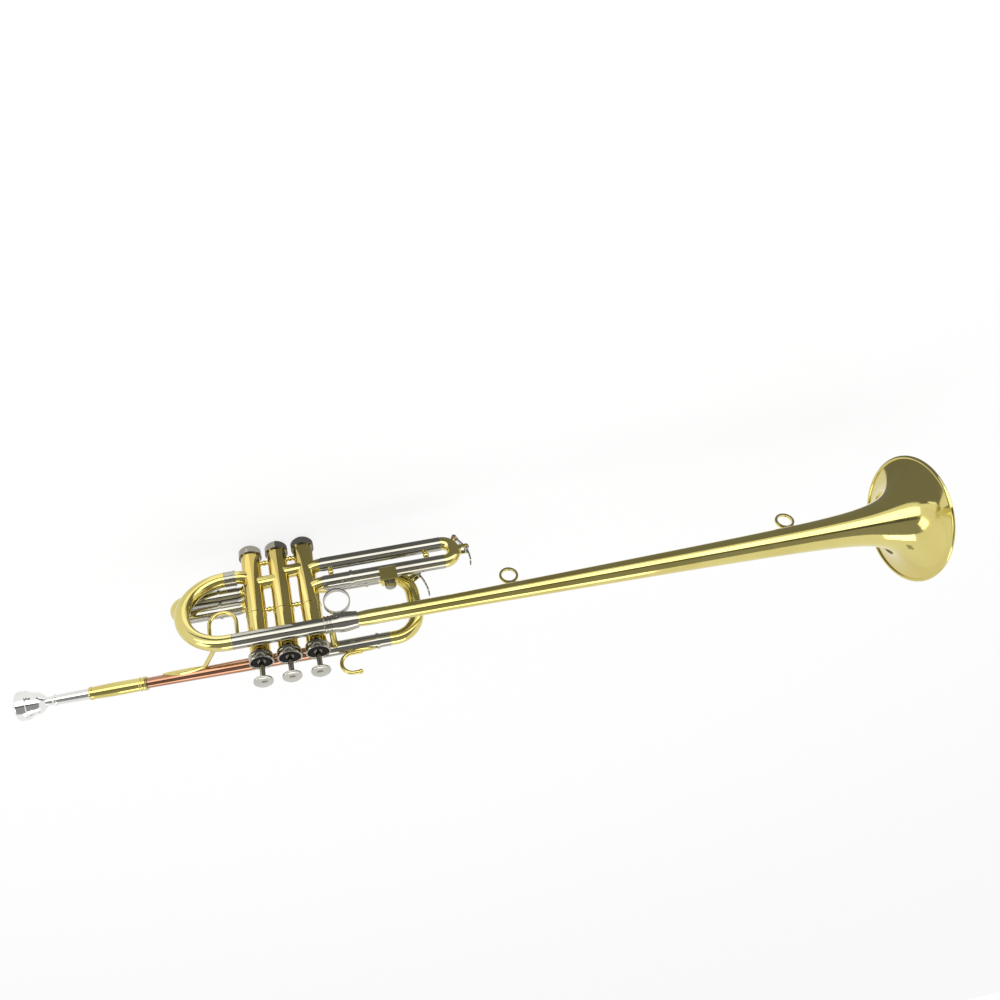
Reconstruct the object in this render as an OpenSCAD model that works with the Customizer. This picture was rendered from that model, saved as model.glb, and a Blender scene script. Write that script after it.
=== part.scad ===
// Herald trumpet in B flat with three top-sprung valves and a long detachable bell.
// Units are millimetres. X runs forward along the bell, Y to the player's left, Z up.
// The origin is on the middle valve's axis, halfway up its casing.

/* [Valve block] */
// Distance between neighbouring valve axes
valve_pitch = 25.7; // [24.9:0.1:27]
// Inner radius of a valve casing
casing_bore_r = 8.5; // [8.3:0.05:8.7]
// Wall of a valve casing
casing_wall = 1; // [0.9:0.05:1.1]
// Top edge of the casings above the origin
casing_top_z = 62; // [61:0.5:66]
// Bottom edge of the casings below the origin
casing_bottom_z = -63.5; // [-65:0.5:-60]
// Height of the joint ring on a casing
casing_ring_z = 12.5; // [6:0.5:18]
// How far the joint ring stands out
casing_ring_h = 0.4; // [0.2:0.1:0.6]
// Length of the joint ring along the casing
casing_ring_w = 1.2; // [0.8:0.1:2]
// Height of the tube that joins the first valve to the second
crossing_1_z = -22.5; // [-22.8:0.1:-22.2]
// Height of the tube that joins the second valve to the third
crossing_2_z = -31; // [-31.3:0.1:-30.7]
// How far to the left such a tube leaves its valve
crossing_out_y = 1.4; // [1.2:0.1:1.6]
// How far to the left it meets the next valve
crossing_in_y = 2.6; // [2.4:0.1:2.8]
// Wall of such a tube
crossing_wall = 0.7; // [0.5:0.05:0.8]
// Height of the lower braces between the casings
low_brace_z = -46.2; // [-48:0.5:-44]
// Height of the upper braces between the casings
high_brace_z = 10; // [5:0.5:12]

/* [Pistons] */
// Running gap between piston and casing, on the radius
piston_gap = 0.04; // [0.02:0.01:0.08]
// Wall of a piston shell
piston_wall = 0.7; // [0.5:0.05:1]
// Lowest point of a raised piston
piston_bottom_z = -40; // [-42:0.5:-39]
// Top of the ported part, where the spring barrel starts
barrel_bottom_z = 20; // [19.5:0.5:22]
// Top of the spring barrel
barrel_top_z = 57.5; // [56:0.5:58.5]
// Thickness of the two discs that close a piston
piston_disc = 2; // [1.5:0.1:2.5]
// How far a valve goes down
valve_travel = 17; // [15:0.5:17.5]
// Thickness of a valve guide
guide_h = 2.5; // [2:0.1:3]
// Gap between a valve guide and the barrel floor
guide_lift = 2; // [1.5:0.1:2.5]
// Width of a valve guide's ears
guide_ear_w = 3; // [2.6:0.1:3.4]
// How far a guide ear reaches into the casing wall
guide_ear_in = 0.5; // [0.3:0.05:0.6]
// Radius of a valve stem
stem_r = 2.5; // [2.2:0.1:2.8]
// Radius of the thin ends that screw into the piston and the button
stem_end_r = 1.6; // [1.4:0.1:1.8]
// Radius of a finger button
button_r = 9; // [8:0.1:10]
// Height of a finger button
button_h = 4.4; // [3.5:0.1:5.5]
// Wire radius of a valve spring
spring_wire_r = 0.55; // [0.4:0.05:0.7]
// Turns of a valve spring
spring_turns = 7; // [5:1:8]

/* [Caps] */
// Radius of a top cap
top_cap_r = 11.3; // [10.9:0.1:11.8]
// Height of the rim that stands up round the felt
top_cap_rim_h = 3; // [2.6:0.1:3.6]
// Depth of the top cap's skirt over the casing
top_cap_skirt = 3.8; // [3:0.1:4]
// Thickness of the cap felts
cap_felt_h = 2; // [1.5:0.1:2.8]
// Radius of a bottom cap
bottom_cap_r = 11.1; // [10.8:0.1:11.6]
// Height of a bottom cap's straight skirt
bottom_cap_skirt = 7.3; // [6:0.1:9]
// Height of a bottom cap's dome below the casing
bottom_cap_dome = 6; // [5:0.5:7]
// Radius of the vent hole in a bottom cap
vent_r = 1.5; // [1:0.1:2]

/* [Tubing] */
// Inner radius of the wind way
bore_r = 5.83; // [5.7:0.01:5.9]
// Wall of an inner slide leg
leg_wall = 0.4; // [0.35:0.01:0.45]
// Running gap between an inner leg and its outer tube
slide_gap = 0.04; // [0.02:0.01:0.08]
// Wall of an outer slide tube
outer_wall = 0.45; // [0.4:0.01:0.5]
// Bend radius of the valve knuckles
knuckle_bend_r = 14; // [12:0.5:16]
// Distance from a valve axis to where its knuckle bends
knuckle_straight = 10; // [9.6:0.1:11]
// Wall of a knuckle
knuckle_wall = 0.45; // [0.4:0.01:0.46]

/* [Mouthpipe] */
// Mouthpipe axis, to the player's right of the valves
lead_y = -21.3; // [-23:0.1:-20.6]
// Mouthpipe axis height
lead_z = 51; // [49:0.5:53]
// Player's end of the mouthpipe receiver
receiver_x = -185.6; // [-200:0.5:-175]
// Length of the mouthpipe receiver
receiver_len = 52; // [45:0.5:60]
// Length of the mouthpiece that stays outside the receiver
mouthpiece_out = 64.6; // [60:0.1:70]
// Length of the mouthpiece shank inside the receiver
shank_in = 22; // [18:0.5:25]
// Outer radius of the mouthpiece rim
rim_r = 13.6; // [13:0.1:14]
// Inner radius of the mouthpiece rim
cup_r = 8.3; // [8:0.1:8.8]
// Depth of the mouthpiece cup
cup_depth = 12; // [9:0.5:14]

/* [Bell] */
// Bell axis, to the player's left of the valves
bell_y = 17.6; // [17.5:0.1:20]
// Bell axis height
bell_z = 50; // [48:0.5:50.5]
// Where the bell mouth lies, ahead of the middle valve
bell_mouth_x = 594.8; // [560:1:640]
// Radius of the bell mouth over its rolled rim
bell_mouth_r = 60; // [57:0.5:63]
// Wire radius of the rolled rim
rim_wire_r = 1.5; // [1.2:0.1:1.8]
// Thickness of the bell sheet
bell_wall = 0.6; // [0.4:0.05:0.8]
// Outer radius of the bell's tube behind the cone
bell_tail_r = 7; // [6.9:0.05:7.05]
// Outer radius that the straight cone reaches at the mouth
bell_cone_r = 13.2; // [12:0.1:14]
// Length of the straight cone
bell_cone_len = 440; // [400:5:460]
// Distance over which the flare dies away
flare_len = 20; // [16:0.5:26]
// Steepness of the flare
flare_power = 1.72; // [1.5:0.01:2]
// Outer radius of the fixed bell tubing
bell_tube_r = 7.1; // [7.08:0.01:7.2]
// Length of the bell's plug inside its socket
bell_plug = 22; // [18:0.5:24]

/* [Bell bow] */
// Lower leg of the bell bow, to the left of the valve axis
bow_low_y = 5.5; // [5.3:0.1:6]
// Height of the lower leg of the bell bow
bow_low_z = -31.2; // [-31.5:0.1:-30.8]
// Where the bell bow's bend starts
bow_bend_x = -51.1; // [-56:0.1:-50]
// Where the brass bow meets the socket tube
bow_joint_x = -47; // [-48:0.1:-46]

/* [Bell socket] */
// Rear end of the socket barrel
socket_x = 44; // [43.6:0.1:46]
// Length of the socket barrel
socket_len = 22; // [21.5:0.5:26]
// Largest radius of the socket barrel
socket_r = 9.2; // [8.8:0.1:9.8]
// Length of the ringed collar behind the barrel
collar_len = 8.5; // [7:0.1:8.8]
// Radius of the ringed collar
collar_r = 8; // [7.7:0.1:8.4]
// Radius of the brace between collar and mouthpipe
bell_brace_r = 3.2; // [2.5:0.1:3.3]
// Radius of the finger ring's outside
finger_ring_r = 12.4; // [11:0.1:14]
// Thickness of the finger ring's band
finger_ring_t = 1.3; // [1:0.1:1.8]
// Width of the finger ring's band
finger_ring_w = 5; // [3.5:0.1:7]
// How far the finger ring leans to the player's left, in degrees
finger_ring_lean = 10; // [0:1:15]

/* [Flag rings] */
// Where the rear flag ring stands
flag_rear_x = 210; // [180:1:240]
// Where the front flag ring stands
flag_front_x = 481; // [450:1:500]
// Inner radius of a flag ring
flag_ring_in_r = 6.7; // [6:0.1:8]
// Thickness of a flag ring's wire
flag_ring_t = 2.3; // [1.8:0.1:2.8]
// Flat width inside a flag ring
flag_ring_w = 2.6; // [2:0.1:3.2]
// Length of a flag ring's foot along the bell
flag_foot_len = 8; // [6:0.5:10]
// Width of that foot
flag_foot_w = 3.6; // [3:0.1:4.4]

/* [First slide] */
// First slide, to the right of the valve axis
first_y = -9; // [-9.4:0.1:-8.9]
// Height of the first slide's lower tube
first_low_z = -23; // [-23.2:0.1:-22.6]
// Distance between the first slide's tubes
first_span = 17; // [16:0.1:19]
// Where the first slide's outer tubes end
first_end_x = -61; // [-64:0.5:-60]
// Where the first slide's bow starts
first_bow_x = -92.5; // [-98:0.5:-88]
// How far the first slide pulls out
first_travel = 13; // [5:0.5:14]

/* [Second slide] */
// Height of the second slide's lower tube
second_low_z = -21; // [-21.5:0.1:-20]
// Distance between the second slide's tubes
second_span = 17; // [16:0.1:17.3]
// Where the second slide's outer tubes end
second_end_y = -26; // [-30:0.5:-25]
// Where the second slide's bow starts
second_bow_y = -32; // [-36:0.5:-30]

/* [Third slide] */
// Third slide, to the left of the valve axis
third_y = 6.4; // [6.2:0.1:6.8]
// Height of the third slide's lower tube
third_low_z = -28.2; // [-28.5:0.1:-27.8]
// Distance between the third slide's tubes
third_span = 22; // [21.5:0.1:22.5]
// Where the third slide's long outer tube ends
third_long_x = 130; // [115:1:140]
// Where the third slide's short outer tube ends
third_short_x = 69; // [66:0.5:76]
// Where the third slide's bow starts
third_bow_x = 158; // [155:0.5:168]
// How far the third slide pulls out
third_travel = 22; // [10:0.5:22]
// Where the fixed brace stands between the third slide's outer tubes
third_brace_x = 49.4; // [47:0.2:60]

/* [Main tuning slide] */
// Lower leg of the tuning slide, to the right of the valve axis
main_low_y = -9.4; // [-9.8:0.1:-9.3]
// Height of the lower leg of the tuning slide
main_low_z = -13.6; // [-14:0.1:-13.2]
// Where the mouthpipe's outer slide tube starts
main_upper_x = 20; // [16:0.5:24]
// Where both outer tubes end
main_end_x = 82.5; // [78:0.5:90]
// Where the nickel sleeves meet the brass bow
main_joint_x = 93; // [91:0.5:98]
// Where the bow's bends start
main_bend_x = 98.5; // [98:0.5:104]
// Radius of the bow's two bends
main_bend_r = 24; // [20:0.5:28]
// How far the tuning slide pulls out
main_travel = 28; // [10:1:28]

/* [Small fittings] */
// Length of an end ring on an outer slide tube
end_ring_w = 2.6; // [1.5:0.1:3.5]
// How far an end ring stands out from its tube
end_ring_h = 0.9; // [0.5:0.05:1]
// Radius of a small brace rod
brace_rod_r = 1.6; // [1.3:0.1:2]
// Radius of the finger loop's rod
loop_rod_r = 1.8; // [1.5:0.1:2.2]
// Distance between the finger loop's legs
loop_span = 24.6; // [22:0.1:28]
// Where the finger loop's middle stands
loop_x = -54.6; // [-58:0.1:-52]
// How far the finger loop reaches from the bell tube's axis
loop_reach = 35.3; // [28:0.1:38]
// Radius of the little-finger hook's rod
hook_rod_r = 1.9; // [1.6:0.1:2.3]
// Bend radius of the little-finger hook
hook_bend_r = 10.6; // [9:0.1:13]
// Where the little-finger hook bends
hook_x = 55; // [50:0.5:60]
// Length of the little-finger hook's leaf foot
hook_leaf = 30; // [22:1:34]
// Radius of a water key's pivot pin
key_pin_r = 0.8; // [0.6:0.05:1]
// Running gap round a pivot pin
key_pin_gap = 0.04; // [0.02:0.01:0.08]
// How far a water key opens, in degrees
key_open = 12; // [6:1:14]
// Thickness of a water key's arm and tail
key_arm_t = 1.3; // [1.1:0.1:1.5]
// Width of a water key's arm
key_arm_w = 3.6; // [3:0.1:4]
// Radius of a water key's hub
key_hub_r = 2; // [1.8:0.1:2.3]
// Length of a water key's hub
key_hub_w = 8.4; // [8:0.1:9]
// Thickness of the ears that hold a water key
key_ear_t = 1; // [0.8:0.1:1.2]
// Radius of the round end of those ears
key_ear_r = 1.9; // [1.7:0.1:2.2]
// Radius of the pad at the end of a water key's tail
key_pad_r = 3; // [2.4:0.1:4]
// Wire radius of a water key's spring
key_wire_r = 0.32; // [0.25:0.01:0.36]
// Turns of a water key's spring
key_turns = 1.75; // [1.25:0.25:2]
// Height of a drain nipple
nipple_h = 2.2; // [1.8:0.1:2.6]
// Outer radius of a drain nipple
nipple_r = 2.4; // [2.2:0.1:2.6]
// Radius of a drain hole
drain_r = 1.3; // [1:0.1:1.6]
// Thickness of a water key's cork
cork_h = 1.8; // [1.4:0.1:2.2]
// Radius of a water key's cork
cork_r = 2.9; // [2.7:0.1:3.2]
// How far the main slide's key pivots above its bow
main_key_lift = 8.5; // [7.5:0.1:9.5]
// Bend of its tail
main_tail_r = 45; // [40:1:60]
// Length of its tail
main_tail_len = 26; // [20:1:28]
// How far the third slide's key pivots above its bow
third_key_lift = 6; // [5.5:0.1:7]
// Bend of its tail
third_tail_r = 43; // [35:1:60]
// Length of its tail
third_tail_len = 20; // [16:1:22]
// How far its tail leans away from the bow, in degrees
third_tail_lean = 13; // [5:1:18]

/* [Lyre holder] */
// Rear end of the lyre holder
lyre_x = 94; // [90:0.5:98]
// Length of the lyre holder
lyre_len = 16; // [14:0.5:18]
// Width of the slot for the lyre's stem
lyre_slot_w = 6.5; // [6:0.1:7]
// Height of that slot
lyre_slot_h = 4.6; // [4.3:0.1:5]
// Wall beside that slot
lyre_wall = 1.7; // [1.4:0.1:2]
// Radius of the clamping screw
lyre_screw_r = 1.9; // [1.6:0.1:2.2]
// Radius of its knurled head
lyre_head_r = 5.3; // [4.6:0.1:6]
// Ribs round that head
lyre_head_ribs = 20; // [14:1:24]

/* [Hidden] */
$fn = 64;
brass = "#d8cf6e";
nickel = "#b9bab4";
copper = "#b5693c";
silver = "#dcdcd8";

// Radii that several pieces share
casing_r = casing_bore_r + casing_wall;
piston_r = casing_bore_r - piston_gap;
leg_r = bore_r + leg_wall;
outer_in_r = leg_r + slide_gap;
outer_r = outer_in_r + outer_wall;
knuckle_r = bore_r + knuckle_wall;
seat = 0.02;

// Places worked out from the sizes above
valve_x = [-valve_pitch, 0, valve_pitch];
crossing_z = [crossing_1_z, crossing_2_z];
socket_end_x = socket_x + socket_len;
third_high_z = third_low_z + third_span;
first_high_z = first_low_z + first_span;
second_high_z = second_low_z + second_span;
main_rise = lead_z - main_low_z;
main_shift = lead_y - main_low_y;
main_span = sqrt(main_rise * main_rise + main_shift * main_shift);
main_tilt = atan2(-main_shift, main_rise);
bow_rise = bell_z - bow_low_z;
bow_shift = bell_y - bow_low_y;
bow_span = sqrt(bow_rise * bow_rise + bow_shift * bow_shift);
bow_bend_r = bow_span / 2;
bow_tilt = atan2(-bow_shift, bow_rise);
felt_floor_z = casing_top_z + 1;
felt_top_z = felt_floor_z + cap_felt_h;
button_z = felt_top_z + valve_travel + 0.4;
guide_z = barrel_bottom_z + guide_lift;
guide_top_z = guide_z + guide_h;
receiver_end_x = receiver_x + receiver_len;
mouth_x = receiver_x - mouthpiece_out;
shank_r = 5.1;
lead_r = outer_in_r - seat;
lead_start_r = 4.9;
lead_start_x = receiver_x + 36;
third_out_r = third_span / 2 + outer_r - 0.25;
main_out_r = main_bend_r + outer_r - 0.05;
third_pivot_a = 0;
third_nipple_a = -45;
main_pivot_a = -30;
main_nipple_a = -66;

// Angle at which a knuckle leaves its valve so that it ends at offset y
function knuckle_angle(y) =
    atan2(knuckle_bend_r, knuckle_straight)
    + asin((y - knuckle_bend_r) / norm([knuckle_bend_r, knuckle_straight]));
// Distance from the valve axis to the end of such a knuckle
function knuckle_reach(y) =
    knuckle_straight * cos(knuckle_angle(y)) + knuckle_bend_r * sin(knuckle_angle(y));

third_start_x = valve_x[2] + knuckle_reach(third_y);
main_start_x = valve_x[2] + knuckle_reach(-main_low_y);
first_start_x = valve_x[0] - knuckle_reach(-first_y);
bow_start_x = valve_x[0] - knuckle_reach(bow_low_y);

// Plain tools

// Rod along X from x0 to x1
module rod_x(x0, x1, y, z, r) {
    translate([x0, y, z]) rotate([0, 90, 0]) cylinder(r = r, h = x1 - x0);
}

// Rod along Y from y0 to y1
module rod_y(x, y0, y1, z, r) {
    translate([x, y0, z]) rotate([-90, 0, 0]) cylinder(r = r, h = y1 - y0);
}

// Tube along X
module tube_x(x0, x1, y, z, r_out, r_in) {
    difference() {
        rod_x(x0, x1, y, z, r_out);
        rod_x(x0 - 1, x1 + 1, y, z, r_in);
    }
}

// Tube along Y
module tube_y(x, y0, y1, z, r_out, r_in) {
    difference() {
        rod_y(x, y0, y1, z, r_out);
        rod_y(x, y0 - 1, y1 + 1, z, r_in);
    }
}

// Rod between any two points
module rod_between(p, q, r) {
    d = q - p;
    translate(p)
        rotate([0, acos(d[2] / norm(d)), atan2(d[1], d[0])])
            cylinder(r = r, h = norm(d));
}

// Bent rod round the Y axis: centre at the origin, angles from +X towards +Z
module bend_y(bend_r, r, a0, a1) {
    rotate([90, 0, 0]) rotate([0, 0, a0])
        rotate_extrude(angle = a1 - a0) translate([bend_r, 0]) circle(r = r);
}

// Bent tube round the Y axis
module bent_tube_y(bend_r, r_out, r_in, a0, a1) {
    difference() {
        bend_y(bend_r, r_out, a0, a1);
        bend_y(bend_r, r_in, a0 - 1, a1 + 1);
    }
}

// Revolved shape along X, from points of distance along X and radius
module turned_x(points) {
    rotate([90, 0, 90]) rotate_extrude()
        polygon([for (p = points) [p[1], p[0]]]);
}

// Flat piece in the X-Z plane, centred on y = 0
module plate_y(w) {
    translate([0, w / 2, 0]) rotate([90, 0, 0]) linear_extrude(w) children();
}

// Part of a flat ring between two angles, under half a turn
module arc_strip(r_in, r_out, a0, a1) {
    far = 2 * r_out;
    intersection() {
        difference() {
            circle(r = r_out, $fn = 160);
            circle(r = r_in, $fn = 160);
        }
        polygon([
            [0, 0], [far * cos(a0), far * sin(a0)],
            [far * cos((a0 + a1) / 2), far * sin((a0 + a1) / 2)],
            [far * cos(a1), far * sin(a1)]
        ]);
    }
}

// Pointed leaf outline, centred on the origin
module leaf_2d(length, width) {
    arc_r = (length * length + width * width) / (4 * width);
    intersection() {
        translate([0, width / 2 - arc_r]) circle(r = arc_r, $fn = 160);
        translate([0, arc_r - width / 2]) circle(r = arc_r, $fn = 160);
    }
}

// Leaf foot that lies on a tube along X; turn is the side of the tube it lies on
module leaf_foot(x, y, z, tube_r, length, width, thick, turn) {
    translate([x, y, z]) rotate([turn, 0, 0])
        intersection() {
            linear_extrude(tube_r + thick + 1) leaf_2d(length, width);
            rod_x(-length, length, 0, 0, tube_r + thick);
        }
}

// Small turned brace: a rod with a bead in the middle and a foot at each end
module brace(p, q, r) {
    d = q - p;
    len = norm(d);
    bead = [for (a = [-54:12:54]) [r + 0.72 * r * cos(a * 90 / 54), len / 2 + 1.3 * r * a / 54]];
    translate(p) rotate([0, acos(d[2] / len), atan2(d[1], d[0])]) rotate_extrude() polygon(concat(
        [[0, 0], [1.6 * r, 0], [1.5 * r, 0.9 * r], [r, r]],
        bead,
        [[r, len - r], [1.5 * r, len - 0.9 * r], [1.6 * r, len], [0, len]]
    ));
}

// Solid that fills a casing, to seat things on its outside
module casing_body(i) {
    translate([valve_x[i], 0, casing_bottom_z])
        cylinder(r = casing_r, h = casing_top_z - casing_bottom_z);
}

// Places its children at a valve, mirrored so that +X and +Y lead to the slide or bow
module at_port(i, y, z, dir) {
    translate([valve_x[i], 0, z])
        mirror([dir < 0 ? 1 : 0, 0, 0])
            mirror([0, y < 0 ? 1 : 0, 0])
                children();
}

// Straight bore through a casing wall, in the direction of its knuckle
module port_rod(i, y, z, dir, r, len) {
    at_port(i, y, z, dir) rotate([0, 0, knuckle_angle(abs(y))]) rod_x(0, len, 0, 0, r);
}

// Mouthpiece and mouthpipe

// Radius of the shank and of its socket at a place along X
function taper_r(x) = shank_r - 0.45 * (x - receiver_x) / shank_in;

module mouthpiece() {
    end_x = receiver_x + shank_in;
    color(silver) translate([0, lead_y, lead_z])
        difference() {
            turned_x([
                [mouth_x + 0.9, 0], [mouth_x + 0.9, cup_r + 0.8], [mouth_x + 0.2, cup_r + 1.6],
                [mouth_x, cup_r + 2.6], [mouth_x + 0.3, rim_r - 1.2], [mouth_x + 1.2, rim_r - 0.3],
                [mouth_x + 2.4, rim_r], [mouth_x + 4.6, rim_r - 0.1], [mouth_x + 6.4, rim_r - 0.8],
                [mouth_x + 8, rim_r - 1.5], [mouth_x + 9.5, rim_r - 1.7],
                [mouth_x + 12, rim_r - 2.3], [mouth_x + 15, rim_r - 3.8],
                [mouth_x + 18, rim_r - 6], [mouth_x + 20.5, rim_r - 8.1],
                [mouth_x + 22.5, rim_r - 9.2], [mouth_x + 25, rim_r - 9.5],
                [mouth_x + 28, rim_r - 9.5], [mouth_x + 29.4, rim_r - 9],
                [mouth_x + 30.4, rim_r - 8.2], [mouth_x + 31.6, rim_r - 7.9],
                [mouth_x + 32.8, rim_r - 8.3], [mouth_x + 34, rim_r - 9],
                [mouth_x + 36, rim_r - 9.2], [mouth_x + 46, shank_r - 0.45],
                [receiver_x - 2, shank_r], [receiver_x, taper_r(receiver_x)],
                [end_x, taper_r(end_x)], [end_x, 0]
            ]);
            turned_x([
                [mouth_x - 1, 0], [mouth_x - 1, cup_r + 1.4], [mouth_x + 0.9, cup_r + 0.5],
                [mouth_x + 2, cup_r], [mouth_x + cup_depth * 0.4, cup_r - 0.8],
                [mouth_x + cup_depth * 0.65, cup_r - 2.2],
                [mouth_x + cup_depth * 0.85, cup_r - 4.2],
                [mouth_x + cup_depth, 2.4], [mouth_x + cup_depth + 2, 1.83],
                [mouth_x + cup_depth + 8, 1.83], [end_x + 0.1, 4.1], [end_x + 0.1, 0]
            ]);
        }
}

module mouthpiece_receiver() {
    end_r = lead_start_r + 1.15;
    color(brass) translate([0, lead_y, lead_z])
        difference() {
            turned_x([
                [receiver_x, 0], [receiver_x, shank_r + 0.75], [receiver_x + 0.8, shank_r + 1.1],
                [receiver_x + 2.2, shank_r + 1.1], [receiver_x + 3, shank_r + 0.6],
                [receiver_x + 10, shank_r + 0.85], [receiver_x + 20, shank_r + 1.2],
                [receiver_x + 30, shank_r + 1.2], [receiver_x + 40, end_r + 0.1],
                [receiver_end_x - 7, end_r], [receiver_end_x - 6.2, end_r + 0.6],
                [receiver_end_x - 5.2, end_r + 0.6], [receiver_end_x - 4.4, end_r],
                [receiver_end_x - 3.4, end_r], [receiver_end_x - 2.6, end_r + 0.6],
                [receiver_end_x - 1.6, end_r + 0.6], [receiver_end_x - 0.8, end_r - 0.2],
                [receiver_end_x, end_r - 0.5], [receiver_end_x, 0]
            ]);
            turned_x([
                [receiver_x - 1, 0], [receiver_x - 1, taper_r(receiver_x) + seat],
                [receiver_x, taper_r(receiver_x) + seat],
                [receiver_x + shank_in, taper_r(receiver_x + shank_in) + seat],
                [receiver_x + shank_in + 3, 4.2], [lead_start_x - 0.2, 4.2],
                [lead_start_x - 0.2, lead_start_r + seat],
                [receiver_end_x + 1, lead_start_r + seat], [receiver_end_x + 1, 0]
            ]);
        }
}

module leadpipe_body(extra) {
    translate([0, lead_y, lead_z])
        turned_x([
            [lead_start_x, 0], [lead_start_x, lead_start_r + extra],
            [receiver_end_x + 4, lead_start_r + extra],
            [receiver_end_x + 49, lead_start_r + 0.55 + extra],
            [receiver_end_x + 85, lead_start_r + 1.05 + extra],
            [main_upper_x - 4, lead_r + extra], [main_upper_x + 8, lead_r + extra],
            [main_upper_x + 8, 0]
        ]);
}

module leadpipe() {
    color(copper) difference() {
        leadpipe_body(0);
        translate([0, lead_y, lead_z])
            turned_x([
                [lead_start_x - 1, 0], [lead_start_x - 1, lead_start_r - 0.5],
                [receiver_end_x + 49, lead_start_r + 0.05],
                [main_upper_x - 4, bore_r - 0.1], [main_upper_x + 9, bore_r], [main_upper_x + 9, 0]
            ]);
    }
}

// Brace from the mouthpipe to the underside of the bell bow, with a long leaf foot
module bell_bow_brace() {
    leaf_x = -98;
    leaf_len = 40;
    foot = [leaf_x + leaf_len / 2 - 2, lead_y + 4.6, lead_z - 2.4];
    top = [-63.5, bell_y - 4, bell_z - 0.5];
    color(brass) difference() {
        union() {
            leaf_foot(leaf_x, lead_y, lead_z, lead_start_r + 0.6, leaf_len, 6.5, 1.4, -115);
            translate(foot) sphere(r = 2.3);
            rod_between(foot, top, 2.1);
        }
        leadpipe_body(seat);
        bell_bow_body(bell_tube_r);
    }
}

// Bell bow and finger loop

module in_bow_plane() {
    translate([bow_bend_x, bow_low_y, bow_low_z]) rotate([bow_tilt, 0, 0])
        translate([0, 0, bow_bend_r]) children();
}

module bell_bow_body(r) {
    in_bow_plane() {
        bend_y(bow_bend_r, r, 90, 270);
        rod_x(seat, bow_joint_x - bow_bend_x, 0, bow_bend_r, r);
    }
}

// A half-turn bend and the straight that is soldered to its upper end
module bell_bow() {
    color(brass) in_bow_plane() {
        bent_tube_y(bow_bend_r, bell_tube_r, bore_r, 90, 270);
        tube_x(seat, bow_joint_x - bow_bend_x, 0, bow_bend_r, bell_tube_r, bore_r);
    }
}

module bell_bow_ferrule() {
    color(nickel) difference() {
        union() {
            rod_x(bow_bend_x, bow_start_x, bow_low_y, bow_low_z, bell_tube_r + 0.15);
            rod_x(bow_start_x - 1.6, bow_start_x, bow_low_y, bow_low_z, bell_tube_r + 0.5);
        }
        rod_x(bow_bend_x - 1, bow_start_x + 1, bow_low_y, bow_low_z, bore_r);
    }
}

// Loop for the left thumb, a bent rod standing on the bell tube
module finger_loop() {
    bend = loop_span / 2;
    arch_z = bell_z - loop_reach + bend + loop_rod_r;
    color(brass) difference() {
        union() {
            translate([loop_x, bell_y, arch_z]) bend_y(bend, loop_rod_r, 180, 360);
            for (s = [-1, 1])
                translate([loop_x + s * bend, bell_y, arch_z])
                    cylinder(r = loop_rod_r, h = bell_z - arch_z);
        }
        in_bow_plane() bend_y(bow_bend_r, bell_tube_r, 90, 200);
        rod_x(bow_bend_x - 0.2, loop_x + loop_span, bell_y, bell_z, bell_tube_r);
    }
}

// Bell socket

module bell_socket_tube() {
    color(nickel) tube_x(bow_joint_x, socket_x, bell_y, bell_z, bell_tube_r, bell_tube_r - 0.6);
}

module bell_socket_collar() {
    x0 = socket_x - collar_len;
    color(nickel) translate([0, bell_y, bell_z]) difference() {
        turned_x([
            [x0, 0], [x0, collar_r - 0.4], [x0 + 0.4, collar_r], [x0 + 1.8, collar_r],
            [x0 + 2.3, collar_r - 0.5], [x0 + 3.1, collar_r - 0.5], [x0 + 3.6, collar_r],
            [x0 + 4.8, collar_r], [x0 + 5.3, collar_r - 0.5], [x0 + 6.1, collar_r - 0.5],
            [x0 + 6.6, collar_r], [socket_x, collar_r], [socket_x, 0]
        ]);
        rod_x(x0 - 1, socket_x + 1, 0, 0, bell_tube_r + seat);
    }
}

module bell_socket_body() {
    translate([0, bell_y, bell_z])
        turned_x([
            [socket_x, 0], [socket_x, collar_r], [socket_x + 2, collar_r + 0.3],
            [socket_x + 5, socket_r - 0.2], [socket_x + 8, socket_r],
            [socket_x + 11, socket_r - 0.1], [socket_x + 15, socket_r - 0.6],
            [socket_end_x - 2, socket_r - 1.3], [socket_end_x - 0.6, socket_r - 1.4],
            [socket_end_x, socket_r - 1.7], [socket_end_x, 0]
        ]);
}

module bell_socket_barrel() {
    color(nickel) difference() {
        bell_socket_body();
        rod_x(socket_x - 1, socket_end_x + 1, bell_y, bell_z, bell_tail_r - 0.1 + slide_gap);
    }
}

module bell_leadpipe_brace() {
    x = socket_x - collar_len / 2 + 1.4;
    color(brass) difference() {
        union() {
            rod_y(x, lead_y, bell_y, (bell_z + lead_z) / 2, bell_brace_r);
            rod_y(x, lead_y + outer_r - 0.4, lead_y + outer_r + 1.6, (bell_z + lead_z) / 2,
                bell_brace_r + 0.8);
            rod_y(x, bell_y - collar_r - 1.8, bell_y - collar_r + 1.5, (bell_z + lead_z) / 2,
                bell_brace_r + 0.8);
        }
        rod_x(x - 20, x + 20, bell_y, bell_z, collar_r);
        rod_x(x - 20, x + 20, lead_y, lead_z, outer_r);
    }
}

module finger_ring() {
    ring_x = socket_x + 6;
    ring_z = 0.3 - socket_r - finger_ring_r;
    color(nickel) difference() {
        translate([0, bell_y, bell_z]) rotate([finger_ring_lean, 0, 0]) difference() {
            union() {
                rod_y(ring_x, -finger_ring_w / 2, finger_ring_w / 2, ring_z, finger_ring_r);
                translate([ring_x - 3, -1.6, -socket_r - 0.6]) cube([6, 3.2, 2.4]);
            }
            rod_y(ring_x, -finger_ring_w, finger_ring_w, ring_z, finger_ring_r - finger_ring_t);
        }
        bell_socket_body();
    }
}

// Bell

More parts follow.
